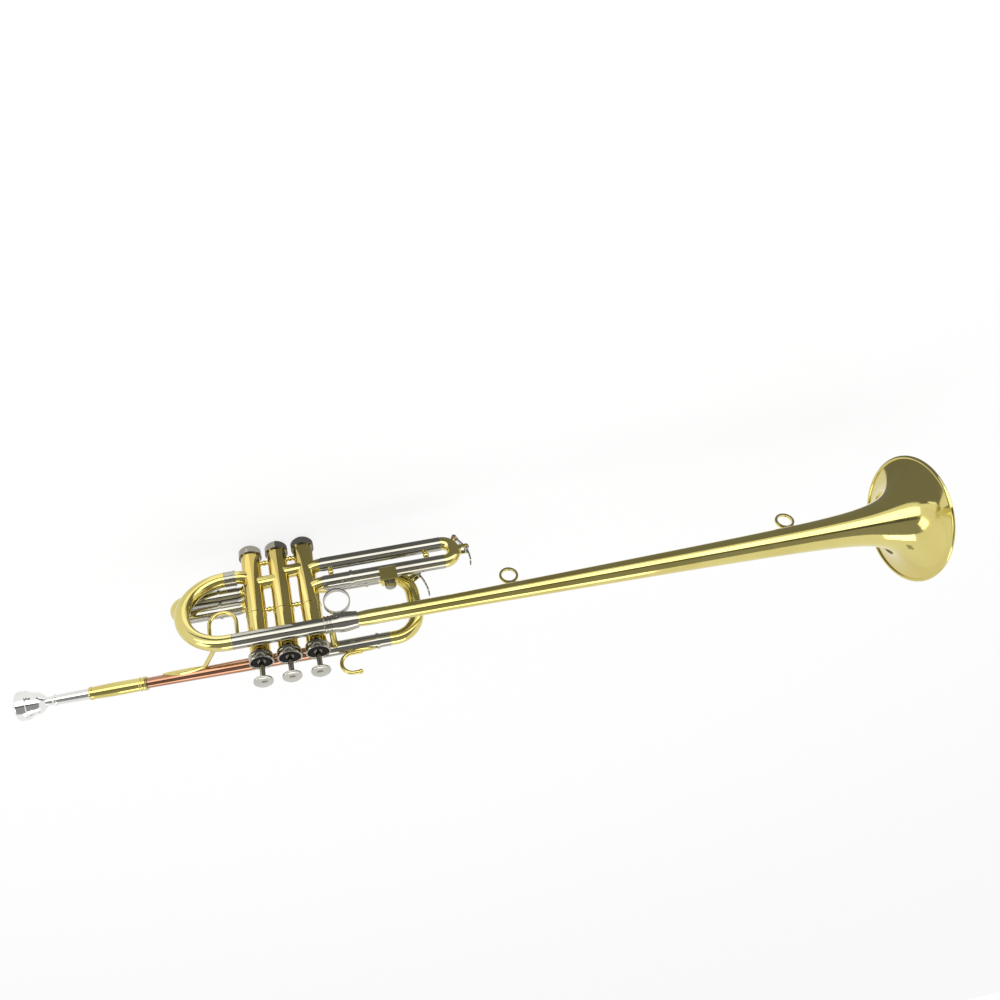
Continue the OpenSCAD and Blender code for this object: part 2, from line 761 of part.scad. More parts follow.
// Outer radius of the bell at distance d behind its mouth
function bell_r(d) =
    bell_tail_r + (bell_cone_r - bell_tail_r) * max(0, 1 - d / bell_cone_len)
    + (bell_mouth_r - rim_wire_r - bell_cone_r) * pow(flare_len / (d + flare_len), flare_power);
// How steeply that radius grows towards the mouth
function bell_slope(d) = (bell_r(max(0, d - 0.05)) - bell_r(d + 0.05)) / (d < 0.05 ? 0.05 + d : 0.1);
bell_end_d = bell_mouth_x - rim_wire_r - socket_end_x;
bell_steps = 36;
function bell_d(i) = bell_end_d * pow(i / bell_steps, 2.6);
bell_edge_x = bell_mouth_x - rim_wire_r;
// Point on the outside of the sheet, and the one through the sheet from it
function bell_outer(d) = [bell_edge_x - d, max(bell_tail_r, bell_r(d))];
function bell_inner(d) =
    [bell_edge_x - d, max(bell_tail_r, bell_r(d))]
    + bell_wall / norm([1, bell_slope(d)]) * [bell_slope(d), -1];

module bell_body() {
    translate([0, bell_y, bell_z])
        turned_x(concat(
            [[socket_end_x, 0]],
            [for (i = [bell_steps:-1:0]) bell_outer(bell_d(i))],
            [[bell_edge_x, 0]]
        ));
}

module bell() {
    plug_r = bell_tail_r - 0.1;
    plug_x = socket_end_x - bell_plug + 0.5;
    color(brass) translate([0, bell_y, bell_z]) difference() {
        turned_x(concat(
            [[plug_x, plug_r - 0.5], [plug_x, plug_r], [socket_end_x + 0.1, plug_r]],
            [for (i = [bell_steps:-1:0]) bell_outer(bell_d(i)) + [i == bell_steps ? 0.1 : 0, 0]],
            [for (i = [0:bell_steps - 1]) bell_inner(bell_d(i))],
            [[socket_end_x + 4, plug_r - 0.5]]
        ));
        rotate([0, 90, 0]) translate([0, 0, bell_edge_x])
            rotate_extrude() translate([bell_mouth_r - rim_wire_r, 0]) circle(r = rim_wire_r);
    }
}

module bell_rim_wire() {
    color(brass) translate([bell_edge_x, bell_y, bell_z]) rotate([0, 90, 0])
        rotate_extrude() translate([bell_mouth_r - rim_wire_r, 0]) circle(r = rim_wire_r);
}

// One flag ring of half-round wire, flat inside, on a small foot
module flag_ring(x) {
    out_r = flag_ring_in_r + flag_ring_t;
    foot_h = 1;
    ring_z = bell_z - bell_r(bell_edge_x - x) - foot_h - out_r;
    difference() {
        union() {
            translate([x, bell_y, ring_z]) rotate([90, 0, 0])
                rotate_extrude() intersection() {
                    translate([flag_ring_in_r, 0]) circle(r = flag_ring_t, $fn = 48);
                    translate([flag_ring_in_r, -flag_ring_w / 2])
                        square([flag_ring_t, flag_ring_w]);
                }
            translate([x - flag_foot_len / 2, bell_y - flag_foot_w / 2, ring_z + out_r - 0.9])
                cube([flag_foot_len, flag_foot_w, 4]);
            translate([x - 2.5, bell_y - 1.2, ring_z + out_r - 1.8]) cube([5, 2.4, 3]);
        }
        bell_body();
        rod_y(x, bell_y - 5, bell_y + 5, ring_z, flag_ring_in_r);
    }
}

module flag_rings() {
    color(brass) for (x = [flag_rear_x, flag_front_x]) flag_ring(x);
}

// Valve block

// The slanting tubes that join neighbouring valves
module crossing_rod(i, r) {
    rod_between([valve_x[i], crossing_out_y, crossing_z[i]],
        [valve_x[i + 1], crossing_in_y, crossing_z[i]], r);
}

module intervalve_tubes() {
    color(brass) for (i = [0, 1]) difference() {
        crossing_rod(i, bore_r + crossing_wall);
        casing_body(i);
        casing_body(i + 1);
        crossing_rod(i, bore_r);
    }
}

// All wind ways that pass through the wall of casing i
module casing_ports(i) {
    if (i > 0) crossing_rod(i - 1, bore_r);
    if (i < 2) crossing_rod(i, bore_r);
    if (i == 0) {
        port_rod(0, bow_low_y, bow_low_z, -1, bore_r, casing_r + 1);
        for (z = [first_low_z, first_high_z])
            port_rod(0, first_y, z, -1, bore_r, casing_r + 1);
    }
    if (i == 1) for (z = [second_low_z, second_high_z]) rod_y(0, -20, 0, z, bore_r);
    if (i == 2) {
        port_rod(2, main_low_y, main_low_z, 1, bore_r, casing_r + 1);
        for (z = [third_low_z, third_high_z])
            port_rod(2, third_y, z, 1, bore_r, casing_r + 1);
    }
}

module valve_casing(i) {
    key_r = casing_bore_r + guide_ear_in + 0.05;
    key_w = guide_ear_w + 0.1;
    color(brass) difference() {
        union() {
            casing_body(i);
            translate([valve_x[i], 0, casing_ring_z])
                cylinder(r = casing_r + casing_ring_h, h = casing_ring_w);
        }
        translate([valve_x[i], 0, casing_bottom_z - 1])
            cylinder(r = casing_bore_r, h = casing_top_z - casing_bottom_z + 2);
        intersection() {
            translate([valve_x[i] - key_w / 2, -key_r, guide_z])
                cube([key_w, 2 * key_r, casing_top_z]);
            translate([valve_x[i], 0, guide_z]) cylinder(r = key_r, h = casing_top_z);
        }
        casing_ports(i);
    }
}

module valve_casing_1() { valve_casing(0); }
module valve_casing_2() { valve_casing(1); }
module valve_casing_3() { valve_casing(2); }

// Short bends that lead from the valves into the bell bow and the slides
module knuckle(i, y, z, dir) {
    a = knuckle_angle(abs(y));
    difference() {
        port_rod(i, y, z, dir, knuckle_r, knuckle_straight - seat);
        port_rod(i, y, z, dir, bore_r, knuckle_straight + 1);
        casing_body(i);
    }
    at_port(i, y, z, dir)
        translate([
            knuckle_straight * cos(a) + knuckle_bend_r * sin(a),
            knuckle_straight * sin(a) - knuckle_bend_r * cos(a), 0
        ])
            rotate([0, 0, 90]) difference() {
                rotate_extrude(angle = a) translate([knuckle_bend_r, 0]) circle(r = knuckle_r);
                rotate([0, 0, -1]) rotate_extrude(angle = a + 2)
                    translate([knuckle_bend_r, 0]) circle(r = bore_r);
            }
}

module slide_knuckles() {
    color(brass) {
        knuckle(0, bow_low_y, bow_low_z, -1);
        for (z = [first_low_z, first_high_z]) knuckle(0, first_y, z, -1);
        for (z = [third_low_z, third_high_z]) knuckle(2, third_y, z, 1);
        knuckle(2, main_low_y, main_low_z, 1);
    }
}

// Small braces between the casings, and from the casings to the bell tube and mouthpipe
module valve_block_braces() {
    color(brass) {
        third_outer_brace();
        for (i = [0, 1], z = [low_brace_z, high_brace_z]) difference() {
            brace([valve_x[i] + casing_r - 0.6, 2, z], [valve_x[i + 1] - casing_r + 0.6, 2, z],
                brace_rod_r);
            casing_body(i);
            casing_body(i + 1);
        }
        for (i = [0, 2]) difference() {
            brace([valve_x[i], -casing_r + 0.6, lead_z], [valve_x[i], lead_y, lead_z],
                brace_rod_r);
            casing_body(i);
            rod_x(valve_x[0] - 20, valve_x[2] + 20, lead_y, lead_z, i == 0 ? lead_r : outer_r);
        }
        for (i = [0, 2]) difference() {
            rod_y(valve_x[i], 0, bell_y, bell_z, 2.6);
            casing_body(i);
            rod_x(valve_x[0] - 20, valve_x[2] + 20, bell_y, bell_z, bell_tube_r);
        }
    }
}

module top_caps() {
    collar_r = stem_r + 1.4;
    color(nickel) for (x = valve_x) translate([x, 0, casing_top_z]) difference() {
        rotate_extrude() polygon([
            [stem_r + 0.05, 0], [casing_r + seat, 0], [casing_r + seat, -top_cap_skirt],
            [top_cap_r - 0.4, -top_cap_skirt], [top_cap_r, -top_cap_skirt + 0.4],
            [top_cap_r, -1], [top_cap_r - 0.35, -0.6], [top_cap_r - 0.35, -0.1],
            [top_cap_r, 0.3], [top_cap_r, top_cap_rim_h + 0.3],
            [top_cap_r - 0.7, top_cap_rim_h + 1], [top_cap_r - 1.4, top_cap_rim_h + 0.9],
            [top_cap_r - 2, top_cap_rim_h - 0.2], [top_cap_r - 2, 1],
            [collar_r, 1], [collar_r, cap_felt_h + 0.8],
            [stem_r + 0.05, cap_felt_h + 0.8]
        ]);
    }
}

module bottom_caps() {
    sphere_r = (bottom_cap_r * bottom_cap_r + bottom_cap_dome * bottom_cap_dome)
        / (2 * bottom_cap_dome);
    color(nickel) for (x = valve_x) translate([x, 0, casing_bottom_z]) difference() {
        union() {
            cylinder(r = bottom_cap_r, h = bottom_cap_skirt);
            intersection() {
                translate([0, 0, sphere_r - bottom_cap_dome]) sphere(r = sphere_r, $fn = 96);
                translate([0, 0, -bottom_cap_dome - 1])
                    cylinder(r = bottom_cap_r, h = bottom_cap_dome + 1);
            }
        }
        cylinder(r = casing_r + seat, h = bottom_cap_skirt + 1);
        translate([0, 0, -bottom_cap_dome / 2])
            cylinder(r = casing_bore_r - 0.6, h = bottom_cap_dome);
        translate([0, 0, -bottom_cap_dome - 1])
            cylinder(r = vent_r, h = bottom_cap_dome + 2);
        translate([0, 0, bottom_cap_skirt - 0.5]) difference() {
            cylinder(r = bottom_cap_r + 1, h = 1);
            cylinder(r = bottom_cap_r - 0.4, h = 1);
        }
    }
}

// Felts: one ring that shows in each top cap and one under the cap
module cap_felts() {
    color("#1c1c1c") for (x = valve_x) translate([x, 0, 0]) {
        translate([0, 0, felt_floor_z]) difference() {
            cylinder(r = top_cap_r - 2.05, h = cap_felt_h);
            translate([0, 0, -1]) cylinder(r = stem_r + 1.45, h = cap_felt_h + 2);
        }
        translate([0, 0, barrel_top_z + 0.05]) difference() {
            cylinder(r = casing_bore_r - 0.3, h = casing_top_z - barrel_top_z - 0.05);
            translate([0, 0, -1]) cylinder(r = stem_r + 0.3, h = casing_top_z);
        }
    }
}

// Guide inside the spring barrel, held by its ears in the casing's keyways
module valve_guides() {
    color(nickel) for (x = valve_x) translate([x, 0, guide_z]) difference() {
        union() {
            cylinder(r = piston_r - piston_wall - 0.2, h = guide_h);
            intersection() {
                translate([-guide_ear_w / 2, -casing_r, 0])
                    cube([guide_ear_w, 2 * casing_r, guide_h]);
                cylinder(r = casing_bore_r + guide_ear_in, h = guide_h);
            }
        }
        translate([0, 0, -1]) cylinder(r = 3, h = guide_h + 2);
    }
}

// Wind ways of each piston: those open when it is up, then those open when it is down.
// An entry is the angle and height of the way in, the same for the way out, and the
// point in the middle through which it bends, in steps from the piston's axis.
way_step = 0.5;
way_end_r = casing_r + 2.5;
back_angle = 270;
crossing_rise = (crossing_in_y - crossing_out_y) / valve_pitch;
in_angle = 180 - asin((crossing_in_y - casing_bore_r * crossing_rise) / casing_bore_r);
out_angle = asin((crossing_out_y + casing_bore_r * crossing_rise) / casing_bore_r);
bell_angle = 180 - knuckle_angle(bow_low_y);
first_angle = 180 + knuckle_angle(-first_y);
third_angle = knuckle_angle(third_y);
main_angle = -knuckle_angle(-main_low_y);
piston_ways = [
    [
        [out_angle, crossing_z[0], bell_angle, bow_low_z, [0, 3]],
        [out_angle, crossing_z[0] + valve_travel, first_angle, first_high_z + valve_travel,
            [0, -2]],
        [first_angle, first_low_z + valve_travel, bell_angle, bow_low_z + valve_travel, [-5, 0]]
    ],
    [
        [in_angle, crossing_z[0], out_angle, crossing_z[1], [0, 3]],
        [in_angle, crossing_z[0] + valve_travel, back_angle, second_high_z + valve_travel,
            [-2, -2]],
        [back_angle, second_low_z + valve_travel, out_angle, crossing_z[1] + valve_travel,
            [3, -2]]
    ],
    [
        [in_angle, crossing_z[1], main_angle, main_low_z, [0, 0]],
        [in_angle, crossing_z[1] + valve_travel, third_angle, third_low_z + valve_travel,
            [0, 4]],
        [third_angle, third_high_z + valve_travel, main_angle, main_low_z + valve_travel, [6, -2]]
    ]
];

module piston_way(w, r) {
    a = [way_end_r * cos(w[0]), way_end_r * sin(w[0]), w[1]];
    b = [way_step * w[4][0], way_step * w[4][1], (w[1] + w[3]) / 2];
    c = [way_end_r * cos(w[2]), way_end_r * sin(w[2]), w[3]];
    rod_between(a, b, r);
    translate(b) sphere(r = r + 0.15);
    rod_between(b, c, r);
}

// Piston: a thin shell crossed by its three wind ways, with the slotted spring barrel above
module piston(i) {
    slot_w = guide_ear_w + 0.3;
    color(nickel) translate([valve_x[i], 0, 0]) difference() {
        union() {
            difference() {
                translate([0, 0, piston_bottom_z])
                    cylinder(r = piston_r, h = barrel_top_z - piston_bottom_z);
                translate([0, 0, piston_bottom_z + piston_disc])
                    cylinder(r = piston_r - piston_wall,
                        h = barrel_bottom_z - piston_bottom_z - 2 * piston_disc);
            }
            intersection() {
                translate([0, 0, piston_bottom_z])
                    cylinder(r = piston_r - 0.1, h = barrel_bottom_z - piston_bottom_z);
                union() for (w = piston_ways[i]) piston_way(w, bore_r + 0.5);
            }
        }
        for (w = piston_ways[i]) piston_way(w, bore_r);
        translate([0, 0, barrel_bottom_z])
            cylinder(r = piston_r - piston_wall, h = barrel_top_z - piston_disc - barrel_bottom_z);
        translate([-slot_w / 2, -casing_r, guide_z - 0.3])
            cube([slot_w, 2 * casing_r, guide_h + valve_travel + 0.8]);
        translate([0, 0, barrel_top_z - piston_disc - 1])
            cylinder(r = stem_end_r + seat, h = piston_disc + 2);
        translate([0, 0, piston_bottom_z - 1]) cylinder(r = 2.5, h = piston_disc + 2);
    }
}

module piston_1() { piston(0); }
module piston_2() { piston(1); }
module piston_3() { piston(2); }

module valve_stem(i) {
    color(nickel) translate([valve_x[i], 0, 0]) {
        translate([0, 0, barrel_top_z]) cylinder(r = stem_r, h = button_z - barrel_top_z);
        translate([0, 0, barrel_top_z - piston_disc])
            cylinder(r = stem_end_r, h = button_z + 2.4 - barrel_top_z + piston_disc);
    }
}

module valve_stem_1() { valve_stem(0); }
module valve_stem_2() { valve_stem(1); }
module valve_stem_3() { valve_stem(2); }

module finger_button(i) {
    color(silver) translate([valve_x[i], 0, button_z]) difference() {
        rotate_extrude() polygon([
            [0, 0], [3.4, 0], [4.1, 0.4], [button_r - 2.6, 1], [button_r - 0.8, 1.7],
            [button_r - 0.1, 2.3], [button_r, 2.8], [button_r, button_h - 1],
            [button_r - 0.3, button_h - 0.4], [button_r - 0.9, button_h], [0, button_h]
        ]);
        translate([0, 0, -1]) cylinder(r = stem_end_r + seat, h = 3.5);
    }
}

module finger_button_1() { finger_button(0); }
module finger_button_2() { finger_button(1); }
module finger_button_3() { finger_button(2); }

// Coil springs: one unbroken tube swept along a helix, with 8 rings to a turn and 6 sides
function coil_point(k, coil_r, pitch) =
    [coil_r * cos(45 * k), coil_r * sin(45 * k), pitch * k / 8];
function coil_ring(k, coil_r, pitch, wire_r) = [
    for (s = [0:5])
        coil_point(k, coil_r, pitch)
        + wire_r * cos(60 * s) * [cos(45 * k), sin(45 * k), 0]
        + wire_r * sin(60 * s) * [
            sin(45 * k) * pitch / norm([pitch, 6.2832 * coil_r]),
            -cos(45 * k) * pitch / norm([pitch, 6.2832 * coil_r]),
            6.2832 * coil_r / norm([pitch, 6.2832 * coil_r])
        ]
];

module coil(coil_r, pitch, turns, wire_r) {
    rings = round(8 * turns);
    points = [for (k = [0:rings]) each coil_ring(k, coil_r, pitch, wire_r)];
    sides = [
        for (k = [0:rings - 1], s = [0:5]) each [
            [6 * k + s, 6 * k + 6 + s, 6 * k + (s + 1) % 6],
            [6 * k + (s + 1) % 6, 6 * k + 6 + s, 6 * k + 6 + (s + 1) % 6]
        ]
    ];
    first = [for (s = [1:4]) [0, s, s + 1]];
    last = [for (s = [1:4]) [6 * rings, 6 * rings + s + 1, 6 * rings + s]];
    polyhedron(points = points, faces = concat(sides, first, last));
}

module valve_spring(i) {
    room = barrel_top_z - piston_disc - guide_top_z;
    color(silver) translate([valve_x[i], 0, guide_top_z + spring_wire_r + 0.1])
        coil(piston_r - piston_wall - spring_wire_r - 0.5,
            (room - 2 * spring_wire_r - 0.3) / spring_turns, spring_turns, spring_wire_r);
}

module valve_spring_1() { valve_spring(0); }
module valve_spring_2() { valve_spring(1); }
module valve_spring_3() { valve_spring(2); }

// Slides

// Outer slide tube along X with a ring at its open end
module outer_tube_x(x0, x1, y, z) {
    open_x = abs(x0) > abs(x1) ? x0 : x1;
    ring_x = open_x < 0 ? open_x : open_x - end_ring_w;
    difference() {
        union() {
            rod_x(x0, x1, y, z, outer_r);
            rod_x(ring_x, ring_x + end_ring_w, y, z, outer_r + end_ring_h);
        }
        rod_x(x0 - 1, x1 + 1, y, z, outer_in_r);
    }
}

module main_slide_outer_tubes() {
    color(nickel) {
        outer_tube_x(main_upper_x, main_end_x, lead_y, lead_z);
        outer_tube_x(main_start_x, main_end_x, main_low_y, main_low_z);
    }
}

module third_outer_body() {
    rod_x(third_start_x, third_long_x, third_y, third_low_z, outer_r);
    rod_x(third_start_x, third_short_x, third_y, third_high_z, outer_r);
}

module valve_slide_outer_tubes() {
    color(nickel) {
        for (z = [first_low_z, first_high_z]) outer_tube_x(first_end_x, first_start_x, first_y, z);
        for (z = [second_low_z, second_high_z]) difference() {
            union() {
                rod_y(0, second_end_y, 0, z, outer_r);
                rod_y(0, second_end_y, second_end_y + end_ring_w, z, outer_r + end_ring_h);
            }
            casing_body(1);
            rod_y(0, second_end_y - 1, 1, z, bore_r);
            rod_y(0, second_end_y - 1, -casing_r - 1, z, outer_in_r);
        }
        tube_x(third_start_x, third_long_x, third_y, third_low_z, outer_r, outer_in_r);
        outer_tube_x(third_start_x, third_short_x, third_y, third_high_z);
    }
}

// Fixed brace between the third slide's two outer tubes
module third_outer_brace() {
    difference() {
        brace([third_brace_x, third_y, third_low_z + outer_r - 0.5],
            [third_brace_x, third_y, third_high_z - outer_r + 0.5], brace_rod_r);
        third_outer_body();
    }
}

// Inner leg with the thicker sleeve that shows between outer tube and bow
module leg_x(x0, x1, sleeve0, sleeve1, y, z) {
    difference() {
        union() {
            rod_x(x0, x1, y, z, leg_r);
            rod_x(sleeve0, sleeve1, y, z, outer_r);
        }
        rod_x(x0 - 1, x1 + 1, y, z, bore_r);
    }
}

module main_slide_legs() {
    sleeve_x = main_end_x + 0.1;
    color(nickel) {
        leg_x(main_upper_x + 12, main_joint_x, sleeve_x, main_joint_x, lead_y, lead_z);
        leg_x(main_start_x + 3, main_joint_x, sleeve_x, main_joint_x, main_low_y, main_low_z);
    }
}

module in_main_plane() {
    translate([main_bend_x, main_low_y, main_low_z]) rotate([main_tilt, 0, 0]) children();
}

// Bow of the tuning slide: two quarter bends with a straight between them
module main_bow_body(r, over) {
    back = main_bend_x - main_joint_x;
    in_main_plane() {
        translate([0, 0, main_bend_r]) bend_y(main_bend_r, r, -90 - over, over);
        translate([0, 0, main_span - main_bend_r]) bend_y(main_bend_r, r, -over, 90 + over);
        translate([main_bend_r, 0, main_bend_r - 0.01])
            cylinder(r = r, h = main_span - 2 * main_bend_r + 0.02);
        for (z = [0, main_span]) rod_x(-back - over, 0.01 * over, 0, z, r);
    }
}

module main_slide_bow() {
    color(brass) difference() {
        main_bow_body(outer_r - 0.05, 0);
        main_bow_body(bore_r, 0.2);
        in_main_bend() key_drain(main_out_r, main_nipple_a);
    }
}

module third_slide_legs() {
    color(nickel) {
        leg_x(third_start_x + 2, third_bow_x, third_long_x + 0.1, third_bow_x, third_y,
            third_low_z);
        leg_x(third_start_x + 2, third_bow_x, third_short_x + 0.1, third_bow_x, third_y,
            third_high_z);
    }
}

module at_third_bow() {
    translate([third_bow_x, third_y, (third_low_z + third_high_z) / 2]) children();
}

module third_bow_body() {
    at_third_bow() bend_y(third_span / 2, outer_r - 0.25, -90, 90);
}

module third_slide_bow() {
    color(brass) difference() {
        third_bow_body();
        at_third_bow() bend_y(third_span / 2, bore_r, -91, 91);
        at_third_bow() key_drain(third_out_r, third_nipple_a);
    }
}

// Brace between the third slide's moving legs
module third_slide_brace() {
    x = third_long_x + 12;
    color(brass) difference() {
        brace([x, third_y, third_low_z + outer_r - 0.5], [x, third_y, third_high_z - outer_r + 0.5],
            brace_rod_r * 1.15);
        rod_x(x - 10, x + 10, third_y, third_low_z, outer_r);
        rod_x(x - 10, x + 10, third_y, third_high_z, outer_r);
    }
}

module first_slide_legs() {
    color(nickel) for (z = [first_low_z, first_high_z])
        leg_x(first_bow_x, first_start_x - 2, first_bow_x, first_end_x - 0.1, first_y, z);
}

module first_slide_bow() {
    color(brass) translate([first_bow_x, first_y, (first_low_z + first_high_z) / 2])
        bent_tube_y(first_span / 2, outer_r - 0.25, bore_r, 90, 270);
}

module second_slide_legs() {
    color(nickel) for (z = [second_low_z, second_high_z]) difference() {
        union() {
            rod_y(0, second_bow_y, -casing_r - 2, z, leg_r);
            rod_y(0, second_bow_y, second_end_y - 0.1, z, outer_r);
        }
        rod_y(0, second_bow_y - 1, -casing_r, z, bore_r);
    }
}

// Bow of the second slide with its pull knob
module second_slide_bow() {
    knob_y = second_bow_y - second_span / 2 - outer_r + 0.6;
    color(brass) translate([0, 0, (second_low_z + second_high_z) / 2]) difference() {
        union() {
            translate([0, second_bow_y, 0]) rotate([0, 0, -90])
                bend_y(second_span / 2, outer_r - 0.25, -90, 90);
            translate([0, knob_y, 0]) rotate([90, 0, 0]) rotate_extrude() polygon([
                [0, -1], [2.8, -1], [2, 0.8], [1.7, 1.8], [2.4, 2.6], [3.4, 3.4], [3.6, 4.4],
                [3.2, 5.4], [2.2, 6], [0, 6.2]
            ]);
        }
        translate([0, second_bow_y, 0]) rotate([0, 0, -90])
            bend_y(second_span / 2, bore_r, -91, 91);
    }
}

// Water keys, drawn round the centre of the bend that they sit on

// Straight strip of thickness t between two points
module strip_2d(p, q, t) {
    side = t / 2 * [p[1] - q[1], q[0] - p[0]] / norm(q - p);
    polygon([p - side, q - side, q + side, p + side]);
}

// Ears, base plate, pin and nipple, all soldered to the bow
module key_saddle(bow_out_r, lift, pivot_a, nipple_a) {
    pin_x = bow_out_r + lift;
    rotate([0, -pivot_a, 0]) {
        for (s = [-1, 1])
            translate([0, s * (key_hub_w + 0.2 + key_ear_t) / 2, 0]) plate_y(key_ear_t) {
                translate([pin_x, 0]) circle(r = key_ear_r);
                translate([bow_out_r - 5.5, -key_ear_r]) square([lift + 5.5, 2 * key_ear_r]);
            }
        translate([bow_out_r - 4, -key_hub_w / 2 - 0.5, -2.6])
            cube([4.5, key_hub_w + 1, 5.2]);
        rod_y(pin_x, -key_hub_w / 2 - 1.8, key_hub_w / 2 + 1.8, 0, key_pin_r);
        for (s = [-1, 1])
            rod_y(pin_x, s * (key_hub_w / 2 + 1.45) - 0.35, s * (key_hub_w / 2 + 1.45) + 0.35, 0,
                key_pin_r + 0.5);
    }
    rotate([0, -nipple_a, 0]) difference() {
        rod_x(bow_out_r - 3, bow_out_r + nipple_h, 0, 0, nipple_r);
        rod_x(bow_out_r - 4, bow_out_r + nipple_h + 1, 0, 0, drain_r);
    }
}

// Hole through the bow under the nipple
module key_drain(bow_out_r, nipple_a) {
    rotate([0, -nipple_a, 0]) rod_x(bow_out_r - 5, bow_out_r + 2, 0, 0, drain_r);
}

// Lever: a straight arm to a cup over the nipple, and a curved tail for the finger
module key_lever(bow_out_r, lift, pivot_a, nipple_a, tail_r, tail_len, tail_lean) {
    cup_x = bow_out_r + nipple_h + cork_h + 0.05;
    pin_x = bow_out_r + lift;
    tail_a = tail_len / tail_r * 180 / PI;
    difference() {
        union() {
            plate_y(key_arm_w) strip_2d(
                (cup_x + key_arm_t / 2) * [cos(nipple_a), sin(nipple_a)],
                pin_x * [cos(pivot_a), sin(pivot_a)], key_arm_t);
            rotate([0, -nipple_a, 0]) rod_x(cup_x - 0.8, cup_x + key_arm_t, 0, 0, cork_r + 0.5);
            rotate([0, -pivot_a, 0]) translate([pin_x, 0, 0]) {
                rod_y(0, -key_hub_w / 2, key_hub_w / 2, 0, key_hub_r);
                rotate([0, tail_lean, 0]) translate([key_arm_t / 2 - tail_r, 0, 0]) {
                    plate_y(key_arm_w) arc_strip(tail_r - key_arm_t, tail_r, -0.5, tail_a);
                    intersection() {
                        plate_y(2 * key_pad_r)
                            arc_strip(tail_r - key_arm_t, tail_r, tail_a * 0.55, tail_a);
                        rotate([0, -tail_a * 0.8, 0]) rod_x(0, tail_r + 1, 0, 0, key_pad_r);
                    }
                }
            }
        }
        rotate([0, -nipple_a, 0]) rod_x(bow_out_r, cup_x, 0, 0, cork_r + 0.05);
        rotate([0, -pivot_a, 0])
            rod_y(pin_x, -key_hub_w, key_hub_w, 0, key_pin_r + key_pin_gap);
    }
}

// Cork that the lever presses on the nipple
module key_cork(bow_out_r, nipple_a) {
    rotate([0, -nipple_a, 0])
        rod_x(bow_out_r + nipple_h + seat, bow_out_r + nipple_h + cork_h + seat, 0, 0, cork_r);
}

// Coil spring round one side of the hub
module key_spring(bow_out_r, lift, pivot_a) {
    start_y = key_arm_w / 2 + key_wire_r + 0.1;
    pitch = (key_hub_w / 2 - start_y - key_wire_r - 0.05) / key_turns;
    rotate([0, -pivot_a, 0]) translate([bow_out_r + lift, start_y, 0]) rotate([-90, 0, 0])
        coil(key_hub_r + key_wire_r + 0.15, pitch, key_turns, key_wire_r);
}

module in_main_bend() {
    in_main_plane() translate([0, 0, main_bend_r]) children();
}

module main_water_key_saddle() {
    color(brass) difference() {
        in_main_bend() key_saddle(main_out_r, main_key_lift, main_pivot_a, main_nipple_a);
        main_bow_body(outer_r - 0.05, 0);
    }
}

module main_water_key_spring() {
    color(silver) in_main_bend() key_spring(main_out_r, main_key_lift, main_pivot_a);
}

module main_water_key() {
    color(nickel) in_main_bend()
        key_lever(main_out_r, main_key_lift, main_pivot_a, main_nipple_a, main_tail_r,
            main_tail_len, 0);
}

module main_water_key_cork() {
    color("#a9825a") in_main_bend() key_cork(main_out_r, main_nipple_a);
}

module third_water_key_saddle() {
    color(brass) difference() {
        at_third_bow() key_saddle(third_out_r, third_key_lift, third_pivot_a, third_nipple_a);
        third_bow_body();
    }
}

module third_water_key_spring() {
    color(silver) at_third_bow() key_spring(third_out_r, third_key_lift, third_pivot_a);
}

module third_water_key() {
    color(nickel) at_third_bow()
        key_lever(third_out_r, third_key_lift, third_pivot_a, third_nipple_a, third_tail_r,
            third_tail_len, third_tail_lean);
}

module third_water_key_cork() {
    color("#a9825a") at_third_bow() key_cork(third_out_r, third_nipple_a);
}

// Lyre holder and its thumb screw, on the third slide's upper leg
lyre_y = third_y + 3;
lyre_z = third_high_z + outer_r + 1.9;
lyre_top_z = lyre_z + lyre_slot_h + 4.6;

module lyre_holder() {
    y0 = lyre_y - lyre_wall;
    y1 = lyre_y + lyre_slot_w + lyre_wall;
    z0 = third_high_z + 2;
    color(brass) difference() {
        translate([lyre_x, 0, 0]) rotate([90, 0, 90]) linear_extrude(lyre_len) polygon([
            [y0, z0], [y1 - 1, z0], [y1, z0 + 1], [y1, lyre_top_z - 1], [y1 - 1, lyre_top_z],
            [y0 + 1, lyre_top_z], [y0, lyre_top_z - 1]
        ]);
        rod_x(lyre_x - 1, lyre_x + lyre_len + 1, third_y, third_high_z, outer_r);
        translate([lyre_x - 1, lyre_y, lyre_z])
            cube([lyre_len + 2, lyre_slot_w, lyre_slot_h]);
        translate([lyre_x + lyre_len / 2, lyre_y + lyre_slot_w / 2, lyre_z + 1])
            cylinder(r = lyre_screw_r + 0.04, h = 20);
    }
}

// Thumb screw with a coarsely knurled head
module lyre_screw() {
    color(nickel) translate([lyre_x + lyre_len / 2, lyre_y + lyre_slot_w / 2, 0]) {
        translate([0, 0, lyre_z + lyre_slot_h + 0.1])
            cylinder(r = lyre_screw_r, h = lyre_top_z + 1.2 - lyre_z - lyre_slot_h - 0.1);
        translate([0, 0, lyre_top_z + 0.3]) {
            cylinder(r = 3.2, h = 1);
            translate([0, 0, 0.9]) linear_extrude(3.6) polygon([
                for (i = [0:4 * lyre_head_ribs - 1])
                    let (r = i % 4 < 2 ? lyre_head_r : lyre_head_r - 0.35)
                        [r * cos(i * 90 / lyre_head_ribs), r * sin(i * 90 / lyre_head_ribs)]
            ]);
        }
    }
}

